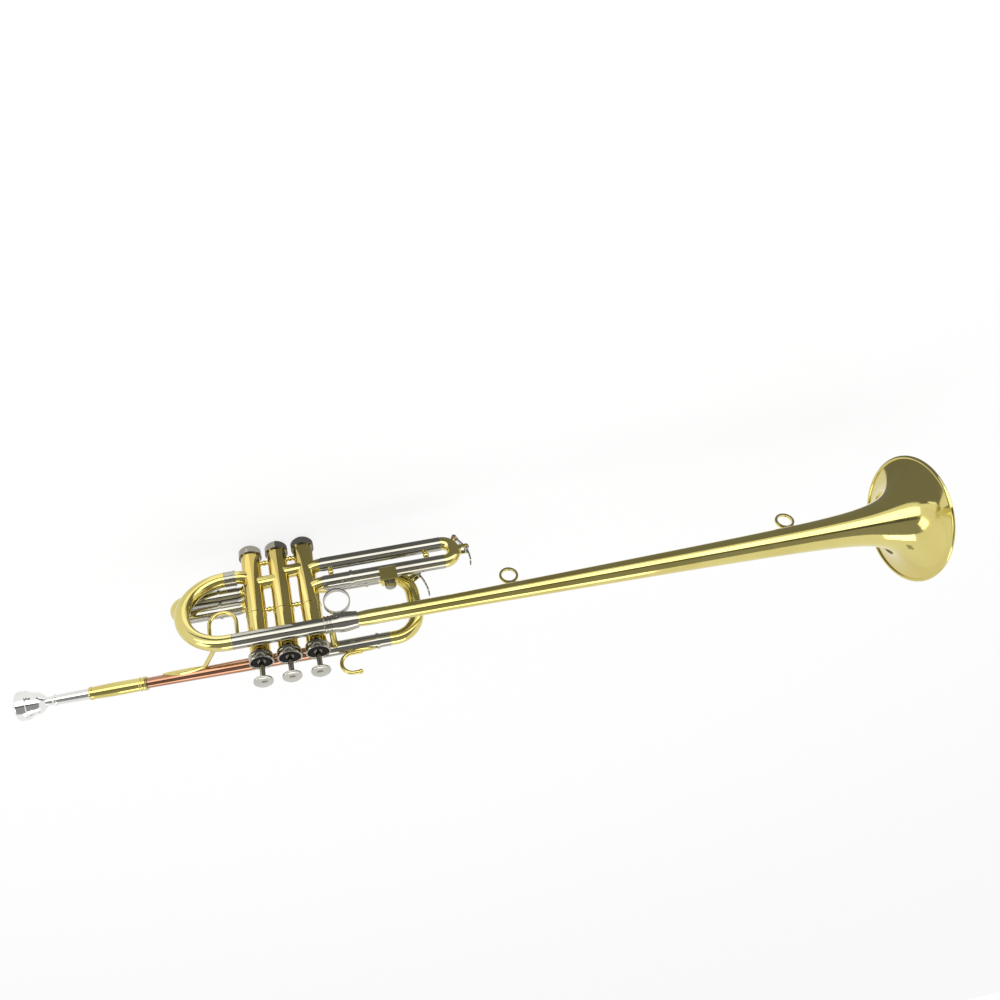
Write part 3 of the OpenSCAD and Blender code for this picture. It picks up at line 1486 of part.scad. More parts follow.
// Hook for the right little finger, a bent rod on a leaf foot
module pinky_hook() {
    bend_z = lead_z + outer_r + hook_rod_r + hook_bend_r - 0.2;
    color(brass) difference() {
        union() {
            leaf_foot(hook_x + hook_leaf / 2 - 5, lead_y, lead_z, outer_r, hook_leaf, 6.5, 1.2, 0);
            translate([hook_x, lead_y, bend_z]) bend_y(hook_bend_r, hook_rod_r, 90, 270);
            rod_x(hook_x - 0.01, hook_x + 9, lead_y, bend_z - hook_bend_r, hook_rod_r);
            translate([hook_x + 9, lead_y, bend_z - hook_bend_r]) sphere(r = hook_rod_r);
            rod_x(hook_x - 0.01, hook_x + 5, lead_y, bend_z + hook_bend_r, hook_rod_r);
            translate([hook_x + 5.5, lead_y, bend_z + hook_bend_r]) sphere(r = hook_rod_r + 0.5);
        }
        rod_x(hook_x - 30, hook_x + 60, lead_y, lead_z, outer_r);
    }
}

mouthpiece();
mouthpiece_receiver();
leadpipe();
bell_bow_brace();
finger_loop();
bell_bow();
bell_bow_ferrule();
bell_socket_tube();
bell_socket_collar();
bell_socket_barrel();
bell_leadpipe_brace();
finger_ring();
bell();
bell_rim_wire();
flag_rings();
valve_casing_1();
valve_casing_2();
valve_casing_3();
intervalve_tubes();
valve_block_braces();
slide_knuckles();
top_caps();
bottom_caps();
cap_felts();
valve_guides();
piston_1();
piston_2();
piston_3();
valve_stem_1();
valve_stem_2();
valve_stem_3();
finger_button_1();
finger_button_2();
finger_button_3();
valve_spring_1();
valve_spring_2();
valve_spring_3();
main_slide_outer_tubes();
valve_slide_outer_tubes();
pinky_hook();
main_slide_legs();
main_slide_bow();
main_water_key_saddle();
main_water_key_spring();
main_water_key();
main_water_key_cork();
third_slide_legs();
third_slide_bow();
third_slide_brace();
lyre_holder();
lyre_screw();
third_water_key_saddle();
third_water_key_spring();
third_water_key();
third_water_key_cork();
first_slide_legs();
first_slide_bow();
second_slide_legs();
second_slide_bow();
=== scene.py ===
"""Herald trumpet: finishes, fine detail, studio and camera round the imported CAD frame."""

import logging
import math
from collections.abc import Iterable, Sequence
from dataclasses import dataclass
from enum import Enum

import bmesh
import bpy
from mathutils import Matrix, Vector, noise


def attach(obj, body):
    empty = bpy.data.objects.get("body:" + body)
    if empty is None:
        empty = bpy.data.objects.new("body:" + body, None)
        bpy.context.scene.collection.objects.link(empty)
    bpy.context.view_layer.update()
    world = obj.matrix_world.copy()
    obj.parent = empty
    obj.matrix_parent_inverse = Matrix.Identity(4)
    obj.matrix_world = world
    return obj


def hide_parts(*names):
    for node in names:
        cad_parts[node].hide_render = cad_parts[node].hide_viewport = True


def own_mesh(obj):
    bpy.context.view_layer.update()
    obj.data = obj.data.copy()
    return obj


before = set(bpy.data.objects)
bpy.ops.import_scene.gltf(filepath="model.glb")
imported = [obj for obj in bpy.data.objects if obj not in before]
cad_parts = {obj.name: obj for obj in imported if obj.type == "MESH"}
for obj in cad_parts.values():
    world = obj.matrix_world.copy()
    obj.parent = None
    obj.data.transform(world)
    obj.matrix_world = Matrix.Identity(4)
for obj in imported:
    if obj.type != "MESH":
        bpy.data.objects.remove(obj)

LOG = logging.getLogger("herald_trumpet")

Value = bpy.types.NodeSocket | bpy.types.Material | float | Sequence[float]

MERGE_GAP = 0.000002
"""Distance within which doubled corners become one, in metres."""

CRISP_EDGE, ROUND_EDGE, WIRE_EDGE, FELT_EDGE = 0.6, 0.9, 1.2, 1.4
"""Angles in radians past which an edge stays sharp, by the kind of piece."""


class Slot(Enum):
    """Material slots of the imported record."""

    BRASS = "brass"
    NICKEL = "nickel"
    COPPER = "copper"
    SILVER = "silver"
    FELT = "felt"
    CORK = "cork"
    SPRING = "spring_steel"


class Lay(Enum):
    """Way that the maker's polishing lines run on a piece."""

    ALONG_X = (0.02, 1.0, 1.0)
    ALONG_Z = (1.0, 1.0, 0.02)
    EVEN = (1.0, 1.0, 1.0)


class Graph:
    """Short builder for a node tree."""

    def __init__(self, tree: bpy.types.NodeTree) -> None:
        """Keep the tree.

        Args:
            tree: shader or geometry node tree to fill.
        """
        self.tree = tree

    def node(
        self,
        kind: str,
        inputs: dict[str | int, Value] | None = None,
        **settings: str | bpy.types.NodeTree,
    ) -> bpy.types.Node:
        """Add a node, set its properties and fill its inputs.

        Args:
            kind: Blender's node type name.
            inputs: value or output socket for each input, by name or number.
            settings: node properties.

        Returns:
            The new node.
        """
        made = self.tree.nodes.new(kind)
        for name, value in settings.items():
            setattr(made, name, value)
        for key, value in (inputs or {}).items():
            self.feed(made.inputs[key], value)
        return made

    def feed(self, socket: bpy.types.NodeSocket, value: Value) -> None:
        """Link an output to a socket, or set the socket's own value.

        Args:
            socket: input that gets it.
            value: output socket, or plain value.
        """
        if isinstance(value, bpy.types.NodeSocket):
            self.tree.links.new(value, socket)
        else:
            socket.default_value = value

    def math(self, operation: str, *values: Value) -> bpy.types.NodeSocket:
        """Add a Math node and return its result."""
        return self.node("ShaderNodeMath", dict(enumerate(values)), operation=operation).outputs[0]

    def mix(self, factor: Value, low: Value, high: Value) -> bpy.types.NodeSocket:
        """Mix two colours.

        Args:
            factor: share of the second colour.
            low: first colour.
            high: second colour.

        Returns:
            The mixed colour's output.
        """
        made = self.node("ShaderNodeMix", data_type="RGBA")
        for key, value in ((0, factor), (6, low), (7, high)):
            self.feed(made.inputs[key], value)
        return made.outputs[2]

    def ramp(self, value: Value, low: float, high: float) -> bpy.types.NodeSocket:
        """Rise smoothly from 0 to 1 as a value goes from low to high.

        Args:
            value: the value.
            low: where the rise starts.
            high: where it ends.

        Returns:
            The ramp's output.
        """
        made = self.node(
            "ShaderNodeMapRange",
            {0: value, 1: low, 2: high, 3: 0.0, 4: 1.0},
            interpolation_type="SMOOTHSTEP",
        )
        return made.outputs[0]

    def seen(self) -> bpy.types.NodeSocket:
        """Tell what the camera and polished metal see from what only lights.

        Returns:
            An output of 1 for camera, glossy and transmitted rays, and 0 for all others.
        """
        path = self.node("ShaderNodeLightPath").outputs
        direct = self.math("ADD", path["Is Camera Ray"], path["Is Glossy Ray"])
        return self.math("MINIMUM", self.math("ADD", direct, path["Is Transmission Ray"]), 1.0)


def new_paint(name: str) -> tuple[bpy.types.Material, Graph, bpy.types.Node]:
    """Start a material.

    Args:
        name: name of the material.

    Returns:
        The material, a builder for its tree and its Principled shader.
    """
    made = bpy.data.materials.new(name)
    made.use_nodes = True
    return made, Graph(made.node_tree), made.node_tree.nodes["Principled BSDF"]


def handling_haze() -> bpy.types.NodeTree:
    """Shared group: soft smudges and fine polishing lines on a polished metal.

    Returns:
        A group with inputs Place, Smudge scale and Lay, and outputs Haze and Lines.
    """
    name = "handling_haze"
    if name in bpy.data.node_groups:
        return bpy.data.node_groups[name]
    tree = bpy.data.node_groups.new(name, "ShaderNodeTree")
    face = tree.interface
    face.new_socket("Place", in_out="INPUT", socket_type="NodeSocketVector")
    face.new_socket("Smudge scale", in_out="INPUT", socket_type="NodeSocketFloat")
    face.new_socket("Lay", in_out="INPUT", socket_type="NodeSocketVector")
    face.new_socket("Haze", in_out="OUTPUT", socket_type="NodeSocketFloat")
    face.new_socket("Lines", in_out="OUTPUT", socket_type="NodeSocketFloat")
    graph = Graph(tree)
    source = graph.node("NodeGroupInput").outputs
    drain = graph.node("NodeGroupOutput")
    smudge = graph.node(
        "ShaderNodeTexNoise",
        {"Vector": source[0], "Scale": source[1], "Detail": 4.0, "Roughness": 0.62},
    )
    haze = graph.ramp(smudge.outputs[0], 0.42, 0.72)
    along = graph.node("ShaderNodeVectorMath", {0: source[0], 1: source[2]}, operation="MULTIPLY")
    lines = graph.node(
        "ShaderNodeTexNoise",
        {"Vector": along.outputs[0], "Scale": 2600.0, "Detail": 2.0, "Roughness": 0.5},
    )
    graph.feed(drain.inputs[0], haze)
    graph.feed(drain.inputs[1], lines.outputs[0])
    return tree


@dataclass(frozen=True)
class Metal:
    """Polished metal with smudges, polishing lines and a thin lacquer or plating.

    Colours are linear. Haze widens the roughness, and deep is the tone in the smudges.
    """

    name: str
    colour: tuple[float, float, float]
    deep: tuple[float, float, float]
    roughness: float = 0.07
    haze: float = 0.08
    lacquer: float = 0.0
    lay: Lay = Lay.ALONG_X
    smudge_scale: float = 55.0
    line_height: float = 0.002

    def material(self) -> bpy.types.Material:
        """Make this finish's material at its first use.

        Returns:
            The material.
        """
        key = f"{self.name}_{self.lay.name.lower()}"
        if key in bpy.data.materials:
            return bpy.data.materials[key]
        made, graph, shader = new_paint(key)
        made.diffuse_color = (*self.colour, 1.0)
        place = graph.node("ShaderNodeTexCoord").outputs["Object"]
        marks = graph.node("ShaderNodeGroup", node_tree=handling_haze())
        graph.feed(marks.inputs["Place"], place)
        graph.feed(marks.inputs["Smudge scale"], self.smudge_scale)
        graph.feed(marks.inputs["Lay"], self.lay.value)
        tone = graph.node("ShaderNodeTexNoise", {"Vector": place, "Scale": 14.0, "Detail": 3.0})
        share = graph.ramp(tone.outputs[0], 0.35, 0.7)
        colour = graph.mix(share, (*self.colour, 1.0), (*self.deep, 1.0))
        graph.feed(shader.inputs["Base Color"], colour)
        shader.inputs["Metallic"].default_value = 1.0
        rough = graph.math("MULTIPLY_ADD", marks.outputs["Haze"], self.haze, self.roughness)
        graph.feed(shader.inputs["Roughness"], rough)
        bump = graph.node(
            "ShaderNodeBump",
            {"Strength": self.line_height, "Distance": 0.0001, "Height": marks.outputs["Lines"]},
        )
        graph.feed(shader.inputs["Normal"], bump.outputs[0])
        if self.lacquer > 0:
            shader.inputs["Coat Weight"].default_value = self.lacquer
            shader.inputs["Coat Roughness"].default_value = 0.03
        return made


@dataclass(frozen=True)
class Felt:
    """Pressed black felt with short fibres."""

    name: str = "black_felt"
    colour: tuple[float, float, float] = (0.011, 0.0105, 0.010)
    fibre_scale: float = 1900.0
    fibre_gain: float = 2.6

    def material(self) -> bpy.types.Material:
        """Make the felt's material at its first use.

        Returns:
            The material.
        """
        if self.name in bpy.data.materials:
            return bpy.data.materials[self.name]
        made, graph, shader = new_paint(self.name)
        place = graph.node("ShaderNodeTexCoord").outputs["Object"]
        fibre = graph.node("ShaderNodeTexNoise", {"Vector": place, "Scale": self.fibre_scale, "Detail": 6.0})
        pale = tuple(c * self.fibre_gain for c in self.colour)
        colour = graph.mix(fibre.outputs[0], (*self.colour, 1.0), (*pale, 1.0))
        graph.feed(shader.inputs["Base Color"], colour)
        shader.inputs["Roughness"].default_value = 0.95
        shader.inputs["Specular IOR Level"].default_value = 0.15
        bump = graph.node(
            "ShaderNodeBump", {"Strength": 0.6, "Distance": 0.0002, "Height": fibre.outputs[0]}
        )
        graph.feed(shader.inputs["Normal"], bump.outputs[0])
        return made


@dataclass(frozen=True)
class Cork:
    """Natural cork with darker grains and pores."""

    name: str = "natural_cork"
    colour: tuple[float, float, float] = (0.42, 0.25, 0.12)
    grain_scale: float = 1500.0
    grain_shade: float = 0.35

    def material(self) -> bpy.types.Material:
        """Make the cork's material at its first use.

        Returns:
            The material.
        """
        if self.name in bpy.data.materials:
            return bpy.data.materials[self.name]
        made, graph, shader = new_paint(self.name)
        place = graph.node("ShaderNodeTexCoord").outputs["Object"]
        cells = graph.node("ShaderNodeTexVoronoi", {"Vector": place, "Scale": self.grain_scale})
        dark = tuple(c * self.grain_shade for c in self.colour)
        share = graph.ramp(cells.outputs["Distance"], 0.1, 0.75)
        colour = graph.mix(share, (*dark, 1.0), (*self.colour, 1.0))
        graph.feed(shader.inputs["Base Color"], colour)
        shader.inputs["Roughness"].default_value = 0.85
        bump = graph.node("ShaderNodeBump", {"Strength": 0.5, "Distance": 0.0002, "Height": share})
        graph.feed(shader.inputs["Normal"], bump.outputs[0])
        return made


Finish = Metal | Felt | Cork

LACQUERED = Metal("lacquered_brass", (0.70, 0.61, 0.215), (0.62, 0.52, 0.155), lacquer=0.3)
LACQUERED_UPRIGHT = Metal(
    "lacquered_brass", (0.73, 0.605, 0.210), (0.64, 0.505, 0.142), lacquer=0.3, lay=Lay.ALONG_Z
)
NICKEL = Metal("nickel_silver", (0.42, 0.405, 0.35), (0.34, 0.325, 0.27), roughness=0.06)
NICKEL_UPRIGHT = Metal(
    "nickel_silver", (0.42, 0.405, 0.35), (0.34, 0.325, 0.27), roughness=0.06, lay=Lay.ALONG_Z
)
RED_BRASS = Metal("red_brass", (0.47, 0.250, 0.150), (0.37, 0.180, 0.100), lacquer=0.3)
SILVER_PLATE = Metal(
    "silver_plate", (0.83, 0.825, 0.80), (0.74, 0.735, 0.70), roughness=0.09, lay=Lay.EVEN
)
DARK_NICKEL = Metal("worn_nickel", (0.46, 0.45, 0.40), (0.33, 0.32, 0.28), roughness=0.10)
SPRING_WIRE = Metal("spring_wire", (0.56, 0.55, 0.53), (0.42, 0.41, 0.39), roughness=0.18)
# Darker copy of the silver plate for the finger buttons: its lower tone is painted shade for the dim
# reflection on the button tops.
SHADED_SILVER_UPRIGHT = Metal(
    "button_plate", (0.55, 0.535, 0.48), (0.46, 0.445, 0.39), roughness=0.09, lay=Lay.ALONG_Z
)
BLACK_FELT = Felt()
NATURAL_CORK = Cork()


def dress(names: Iterable[str], finish: Finish) -> None:
    """Give CAD nodes a finish.

    Args:
        names: node names.
        finish: the finish that they take.
    """
    material = finish.material()
    for name in names:
        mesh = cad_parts[name].data
        mesh.materials.clear()
        mesh.materials.append(material)
        LOG.info("dressed %s in %s", name, material.name)


def link(mesh: bpy.types.Mesh, name: str) -> bpy.types.Object:
    """Put a mesh in the scene as an object at the origin.

    Args:
        mesh: the mesh.
        name: name of the object.

    Returns:
        The object.
    """
    made = bpy.data.objects.new(name, mesh)
    bpy.context.scene.collection.objects.link(made)
    return made


def place_piece(
    piece: bpy.types.Object, body: str, replaces: Sequence[str] = ()
) -> bpy.types.Object:
    """Let a finished piece ride on a body and hide the CAD nodes that it stands in for.

    Args:
        piece: finished object at the origin.
        body: CAD body that carries it.
        replaces: CAD nodes that it hides.

    Returns:
        The piece.
    """
    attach(piece, body)
    if replaces:
        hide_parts(*replaces)
    LOG.info("%s rides on %s with %d faces", piece.name, body, len(piece.data.polygons))
    return piece


def smooth_by_angle(work: bmesh.types.BMesh, angle: float = CRISP_EDGE) -> None:
    """Smooth every face and keep the sharper edges.

    Args:
        work: bmesh that is smoothed.
        angle: edges sharper than this stay sharp, in radians.
    """
    for face in work.faces:
        face.smooth = True
    for edge in work.edges:
        edge.smooth = edge.is_manifold and edge.calc_face_angle(0.0) < angle


def mesh_from(work: bmesh.types.BMesh, name: str, finish: Finish) -> bpy.types.Mesh:
    """Turn a bmesh into a mesh with one finish.

    Args:
        work: bmesh, freed here.
        name: mesh name.
        finish: finish of every face.

    Returns:
        The mesh.
    """
    mesh = bpy.data.meshes.new(name)
    work.to_mesh(mesh)
    work.free()
    mesh.materials.append(finish.material())
    return mesh


def close_rings(work: bmesh.types.BMesh, rings: Sequence[Sequence[bmesh.types.BMVert]]) -> None:
    """Join each ring of corners to the next and close both ends.

    Args:
        work: bmesh that holds the corners.
        rings: rings with the same number of corners.
    """
    sides = len(rings[0])
    for first, second in zip(rings, rings[1:]):
        for k in range(sides):
            after = (k + 1) % sides
            work.faces.new((first[k], first[after], second[after], second[k]))
    work.faces.new(rings[0][::-1])
    work.faces.new(rings[-1])


def add_tube(work: bmesh.types.BMesh, path: Sequence[Vector], radius: float, sides: int = 12) -> None:
    """Add a round wire with closed ends along a path.

    Args:
        work: bmesh that gets it.
        path: points of the centre line, in metres.
        radius: wire radius in metres.
        sides: faces round the wire.
    """
    count = len(path)
    along = [(path[min(i + 1, count - 1)] - path[max(i - 1, 0)]).normalized() for i in range(count)]
    across = along[0].orthogonal().normalized()
    rings = []
    for i, point in enumerate(path):
        across = (across - along[i] * across.dot(along[i])).normalized()
        other = along[i].cross(across)
        ring = []
        for k in range(sides):
            turn = math.tau * k / sides
            offset = across * math.cos(turn) + other * math.sin(turn)
            ring.append(work.verts.new(point + offset * radius))
        rings.append(ring)
    close_rings(work, rings)


def add_lathe(
    work: bmesh.types.BMesh, profile: Sequence[tuple[float, float]], to_place: Matrix, sides: int
) -> None:
    """Add a closed ring turned round its own Z axis.

    Args:
        work: bmesh that gets it.
        profile: radius and height of each corner, anticlockwise, in metres.
        to_place: matrix from the ring's own frame to the row frame.
        sides: steps round the ring.
    """
    rings = []
    for k in range(sides):
        turn = math.tau * k / sides
        rings.append(
            [
                work.verts.new(to_place @ Vector((r * math.cos(turn), r * math.sin(turn), z)))
                for r, z in profile
            ]
        )
    count = len(profile)
    for k in range(sides):
        first, second = rings[k], rings[(k + 1) % sides]
        for j in range(count):
            after = (j + 1) % count
            work.faces.new((first[j], second[j], second[after], first[after]))


def add_disc(work: bmesh.types.BMesh, radius: float, low: float, high: float, to_place: Matrix) -> None:
    """Add a closed disc with a bulged side and rounded rims.

    Args:
        work: bmesh that gets it.
        radius: largest radius in metres.
        low: lower end along the disc's own Z axis, in metres.
        high: upper end along it.
        to_place: matrix from the disc's own frame to the row frame.
    """
    sides, rows, edge = 40, 8, 0.00025
    middle, half = (low + high) / 2, (high - low) / 2
    rings = []
    for row in range(rows + 1):
        turn = -math.pi / 2 + math.pi * row / rows
        r = radius - edge * (1.0 - math.cos(turn))
        z = middle + half * math.sin(turn)
        ring = []
        for k in range(sides):
            round_it = math.tau * k / sides
            corner = Vector((r * math.cos(round_it), r * math.sin(round_it), z))
            ring.append(work.verts.new(to_place @ corner))
        rings.append(ring)
    close_rings(work, rings)


@dataclass(frozen=True)
class Bend:
    """Frame of a slide's bend: its centre, its tilt about X and the outer radius of its tube."""

    foot: tuple[float, float, float]
    tilt: float
    rise: float
    out_r: float

    def matrix(self, distance: float, angle: float) -> Matrix:
        """Return the frame whose Z axis points outwards at an angle of the bend.

        Args:
            distance: distance of its origin from the bend's centre, in metres.
            angle: place round the bend in degrees, from +X towards the bend's +Z.

        Returns:
            Matrix from that frame to the row frame.
        """
        plane = Matrix.Translation(self.foot) @ Matrix.Rotation(self.tilt, 4, "X")
        centre = plane @ Matrix.Translation((0.0, 0.0, self.rise))
        outwards = centre @ Matrix.Rotation(math.radians(90.0 - angle), 4, "Y")
        return outwards @ Matrix.Translation((0.0, 0.0, distance))


@dataclass
class WaterKeyTrim:
    """Cork and wire spring of one water key, in metres."""

    name: str
    bend: Bend
    slide_body: str
    key_body: str
    pivot_angle: float
    nipple_angle: float
    lift: float
    nipple_h: float = 0.0022
    cork_h: float = 0.0018
    cork_r: float = 0.0029
    seat: float = 0.00002
    coil_r: float = 0.00247
    wire_r: float = 0.00032
    coil_start: float = 0.00222
    coil_pitch: float = 0.00092
    coil_turns: float = 1.75

    def build(self) -> None:
        """Make the cork and the spring."""
        self.cork()
        self.spring()

    def cork(self) -> None:
        """Press the cork disc that closes the drain nipple."""
        work = bmesh.new()
        low = self.bend.out_r + self.nipple_h + self.seat
        add_disc(work, self.cork_r, low, low + self.cork_h, self.bend.matrix(0.0, self.nipple_angle))
        smooth_by_angle(work, ROUND_EDGE)
        mesh = mesh_from(work, f"{self.name}_cork_disc", NATURAL_CORK)
        place_piece(link(mesh, mesh.name), self.key_body, (f"{self.name}_cork",))

    def spring(self) -> None:
        """Wind the wire spring beside the hub."""
        work = bmesh.new()
        frame_at = self.bend.matrix(self.bend.out_r + self.lift, self.pivot_angle)
        steps = 24
        path = []
        for k in range(round(steps * self.coil_turns) + 1):
            turn = math.tau * k / steps
            y = self.coil_start + self.coil_pitch * k / steps
            x, z = -self.coil_r * math.sin(turn), self.coil_r * math.cos(turn)
            path.append(frame_at @ Vector((x, y, z)))
        add_tube(work, path, self.wire_r)
        smooth_by_angle(work, WIRE_EDGE)
        mesh = mesh_from(work, f"{self.name}_spring_wire", SPRING_WIRE)
        place_piece(link(mesh, mesh.name), self.slide_body, (f"{self.name}_spring",))


@dataclass(frozen=True)
class Seam:
    """One soldered joint: centre, direction of its tube and the tube's radius, in metres."""

    place: tuple[float, float, float]
    along: tuple[float, float, float]
    radius: float


def bead_tree() -> bpy.types.NodeTree:
    """Build the tree that lays a solder bead round every point of a carrier mesh.

    Returns:
        A tree with inputs Points, Bead radius and Finish.
    """
    tree = bpy.data.node_groups.new("solder_beads", "GeometryNodeTree")
    face = tree.interface
    face.new_socket("Beads", in_out="OUTPUT", socket_type="NodeSocketGeometry")
    face.new_socket("Points", in_out="INPUT", socket_type="NodeSocketGeometry")
    face.new_socket("Bead radius", in_out="INPUT", socket_type="NodeSocketFloat").default_value = 0.00028
    face.new_socket("Finish", in_out="INPUT", socket_type="NodeSocketMaterial")
    graph = Graph(tree)
    given = graph.node("NodeGroupInput").outputs
    reach = graph.node("GeometryNodeInputNamedAttribute", {"Name": "seam_radius"}, data_type="FLOAT")
    along = graph.node("GeometryNodeInputNamedAttribute", {"Name": "seam_along"}, data_type="FLOAT_VECTOR")
    turn = graph.node("FunctionNodeAlignRotationToVector", {"Vector": along.outputs[0]}, axis="Z")
    steps_around, steps_across = 40, 8
    circle = graph.node(
        "GeometryNodeCurvePrimitiveCircle", {"Resolution": steps_around, "Radius": 1.0}
    )
    rings = graph.node(
        "GeometryNodeInstanceOnPoints",
        {
            "Points": given["Points"],
            "Instance": circle.outputs[0],
            "Rotation": turn.outputs[0],
            "Scale": reach.outputs[0],
        },
    )
    sized = graph.node("GeometryNodeRealizeInstances", {0: rings.outputs[0]})
    section = graph.node(
        "GeometryNodeCurvePrimitiveCircle",
        {"Resolution": steps_across, "Radius": given["Bead radius"]},
    )
    bead = graph.node("GeometryNodeCurveToMesh", {0: sized.outputs[0], 1: section.outputs[0]})
    smooth = graph.node("GeometryNodeSetShadeSmooth", {"Geometry": bead.outputs[0]})
    real = graph.node("GeometryNodeRealizeInstances", {0: smooth.outputs[0]})
    dressed = graph.node(
        "GeometryNodeSetMaterial", {"Geometry": real.outputs[0], "Material": given["Finish"]}
    )
    graph.feed(graph.node("NodeGroupOutput").inputs[0], dressed.outputs[0])
    return tree


def lay_beads(name: str, seams: Sequence[Seam], body: str, finish: Finish) -> None:
    """Lay the solder beads of one body.

    Args:
        name: name of the piece.
        seams: the soldered joints.
        body: body that carries them.
        finish: finish of the beads.
    """
    carrier = bpy.data.meshes.new(f"{name}_points")
    carrier.from_pydata([seam.place for seam in seams], [], [])
    reach = carrier.attributes.new("seam_radius", "FLOAT", "POINT")
    along = carrier.attributes.new("seam_along", "FLOAT_VECTOR", "POINT")
    for i, seam in enumerate(seams):
        reach.data[i].value = seam.radius
        along.data[i].vector = seam.along
    piece = run_tree(name, bead_tree(), {"Finish": finish.material()}, carrier)
    work = bmesh.new()
    work.from_mesh(piece.data)
    bmesh.ops.recalc_face_normals(work, faces=work.faces)
    work.to_mesh(piece.data)
    work.free()
    place_piece(piece, body)


@dataclass
class BellSection:
    """Bell, rim wire and flag rings, with the sheet spun by Geometry Nodes.

    All sizes are in metres and repeat the CAD source's values.
    """

    edge_x: float = 0.5933
    axis_y: float = 0.0176
    axis_z: float = 0.0500
    length: float = 0.5273
    tail_r: float = 0.0070
    cone_r: float = 0.0132
    cone_length: float = 0.440
    mouth_r: float = 0.0585
    flare_length: float = 0.020
    flare_power: float = 1.72
    wall: float = 0.0006
    rings: int = 150
    sides: int = 128
    ring_spread: float = 2.6
    edge_share: float = 0.0005

    def tree(self) -> bpy.types.NodeTree:
        """Build the tree that spins the sheet from its size inputs.

        Returns:
            A tree with an input for each of the bell's sizes and one for its finish.
        """
        tree = bpy.data.node_groups.new("spun_bell", "GeometryNodeTree")
        face = tree.interface
        face.new_socket("Sheet", in_out="OUTPUT", socket_type="NodeSocketGeometry")
        face.new_socket("Blank", in_out="INPUT", socket_type="NodeSocketGeometry")
        for label, value in self.sizes().items():
            made = face.new_socket(label, in_out="INPUT", socket_type="NodeSocketFloat")
            made.default_value = value
        face.new_socket("Finish", in_out="INPUT", socket_type="NodeSocketMaterial")
        graph = Graph(tree)
        given = graph.node("NodeGroupInput").outputs
        blank = graph.node(
            "GeometryNodeMeshGrid",
            {
                "Size X": 1.0,
                "Size Y": 1.0,
                "Vertices X": 2 * self.rings + 1,
                "Vertices Y": self.sides + 1,
            },
        )
        place = graph.node("GeometryNodeInputPosition").outputs[0]
        split = graph.node("ShaderNodeSeparateXYZ", {0: place}).outputs
        share = graph.math("ADD", split[0], 0.5)
        fold = graph.math("ABSOLUTE", graph.math("SUBTRACT", graph.math("MULTIPLY", share, 2.0), 1.0))
        distance = graph.math("MULTIPLY", graph.math("POWER", fold, self.ring_spread), given["Length"])
        inside = graph.math("GREATER_THAN", share, 0.5)
        start = graph.math("LESS_THAN", share, self.edge_share)
        cone = graph.math(
            "MAXIMUM", graph.math("SUBTRACT", 1.0, graph.math("DIVIDE", distance, given["Cone length"])), 0.0
        )
        taper = graph.math(
            "MULTIPLY", graph.math("SUBTRACT", given["Cone radius"], given["Tail radius"]), cone
        )
        near = graph.math(
            "DIVIDE", given["Flare length"], graph.math("ADD", distance, given["Flare length"])
        )
        flare = graph.math(
            "MULTIPLY",
            graph.math("SUBTRACT", given["Mouth radius"], given["Cone radius"]),
            graph.math("POWER", near, given["Flare power"]),
        )
        radius = graph.math("ADD", graph.math("ADD", given["Tail radius"], taper), flare)
        slope = graph.math(
            "DIVIDE",
            graph.math("MULTIPLY", flare, given["Flare power"]),
            graph.math("ADD", distance, given["Flare length"]),
        )
        lean = graph.math("SQRT", graph.math("MULTIPLY_ADD", slope, slope, 1.0))
        depth = graph.math("MULTIPLY", graph.math("MAXIMUM", inside, start), given["Wall"])
        radius = graph.math("SUBTRACT", radius, graph.math("DIVIDE", depth, lean))
        shift = graph.math("DIVIDE", graph.math("MULTIPLY", depth, slope), lean)
        turn = graph.math("MULTIPLY", split[1], math.tau)
        x = graph.math("ADD", graph.math("SUBTRACT", given["Edge X"], distance), shift)
        y = graph.math("MULTIPLY_ADD", radius, graph.math("COSINE", turn), given["Axis Y"])
        z = graph.math("MULTIPLY_ADD", radius, graph.math("SINE", turn), given["Axis Z"])
        corner = graph.node("ShaderNodeCombineXYZ", {0: x, 1: y, 2: z})
        spun = graph.node(
            "GeometryNodeSetPosition", {"Geometry": blank.outputs[0], "Position": corner.outputs[0]}
        )
        merged = graph.node(
            "GeometryNodeMergeByDistance", {"Geometry": spun.outputs[0], "Distance": MERGE_GAP}
        )
        smooth = graph.node("GeometryNodeSetShadeSmooth", {"Geometry": merged.outputs[0]})
        real = graph.node("GeometryNodeRealizeInstances", {0: smooth.outputs[0]})
        dressed = graph.node(
            "GeometryNodeSetMaterial", {"Geometry": real.outputs[0], "Material": given["Finish"]}
        )
        graph.feed(graph.node("NodeGroupOutput").inputs[0], dressed.outputs[0])
        return tree

    def sizes(self) -> dict[str, float]:
        """Return the tree's size inputs by label."""
        return {
            "Edge X": self.edge_x,
            "Axis Y": self.axis_y,
            "Axis Z": self.axis_z,
            "Length": self.length,
            "Tail radius": self.tail_r,
            "Cone radius": self.cone_r,
            "Cone length": self.cone_length,
            "Mouth radius": self.mouth_r,
            "Flare length": self.flare_length,
            "Flare power": self.flare_power,
            "Wall": self.wall,
        }

    def build(self) -> None:
        """Spin the sheet, dress the rim wire and the flag rings."""
        sheet = run_tree("bell_sheet", self.tree(), {"Finish": LACQUERED.material()})
        work = bmesh.new()
        work.from_mesh(sheet.data)
        bmesh.ops.recalc_face_normals(work, faces=work.faces)
        smooth_by_angle(work)
        work.to_mesh(sheet.data)
        work.free()
        place_piece(sheet, "bell", ("bell",))
        for name in ("bell_rim_wire", "flag_rings"):
            polished_skin(name, "bell", LACQUERED)


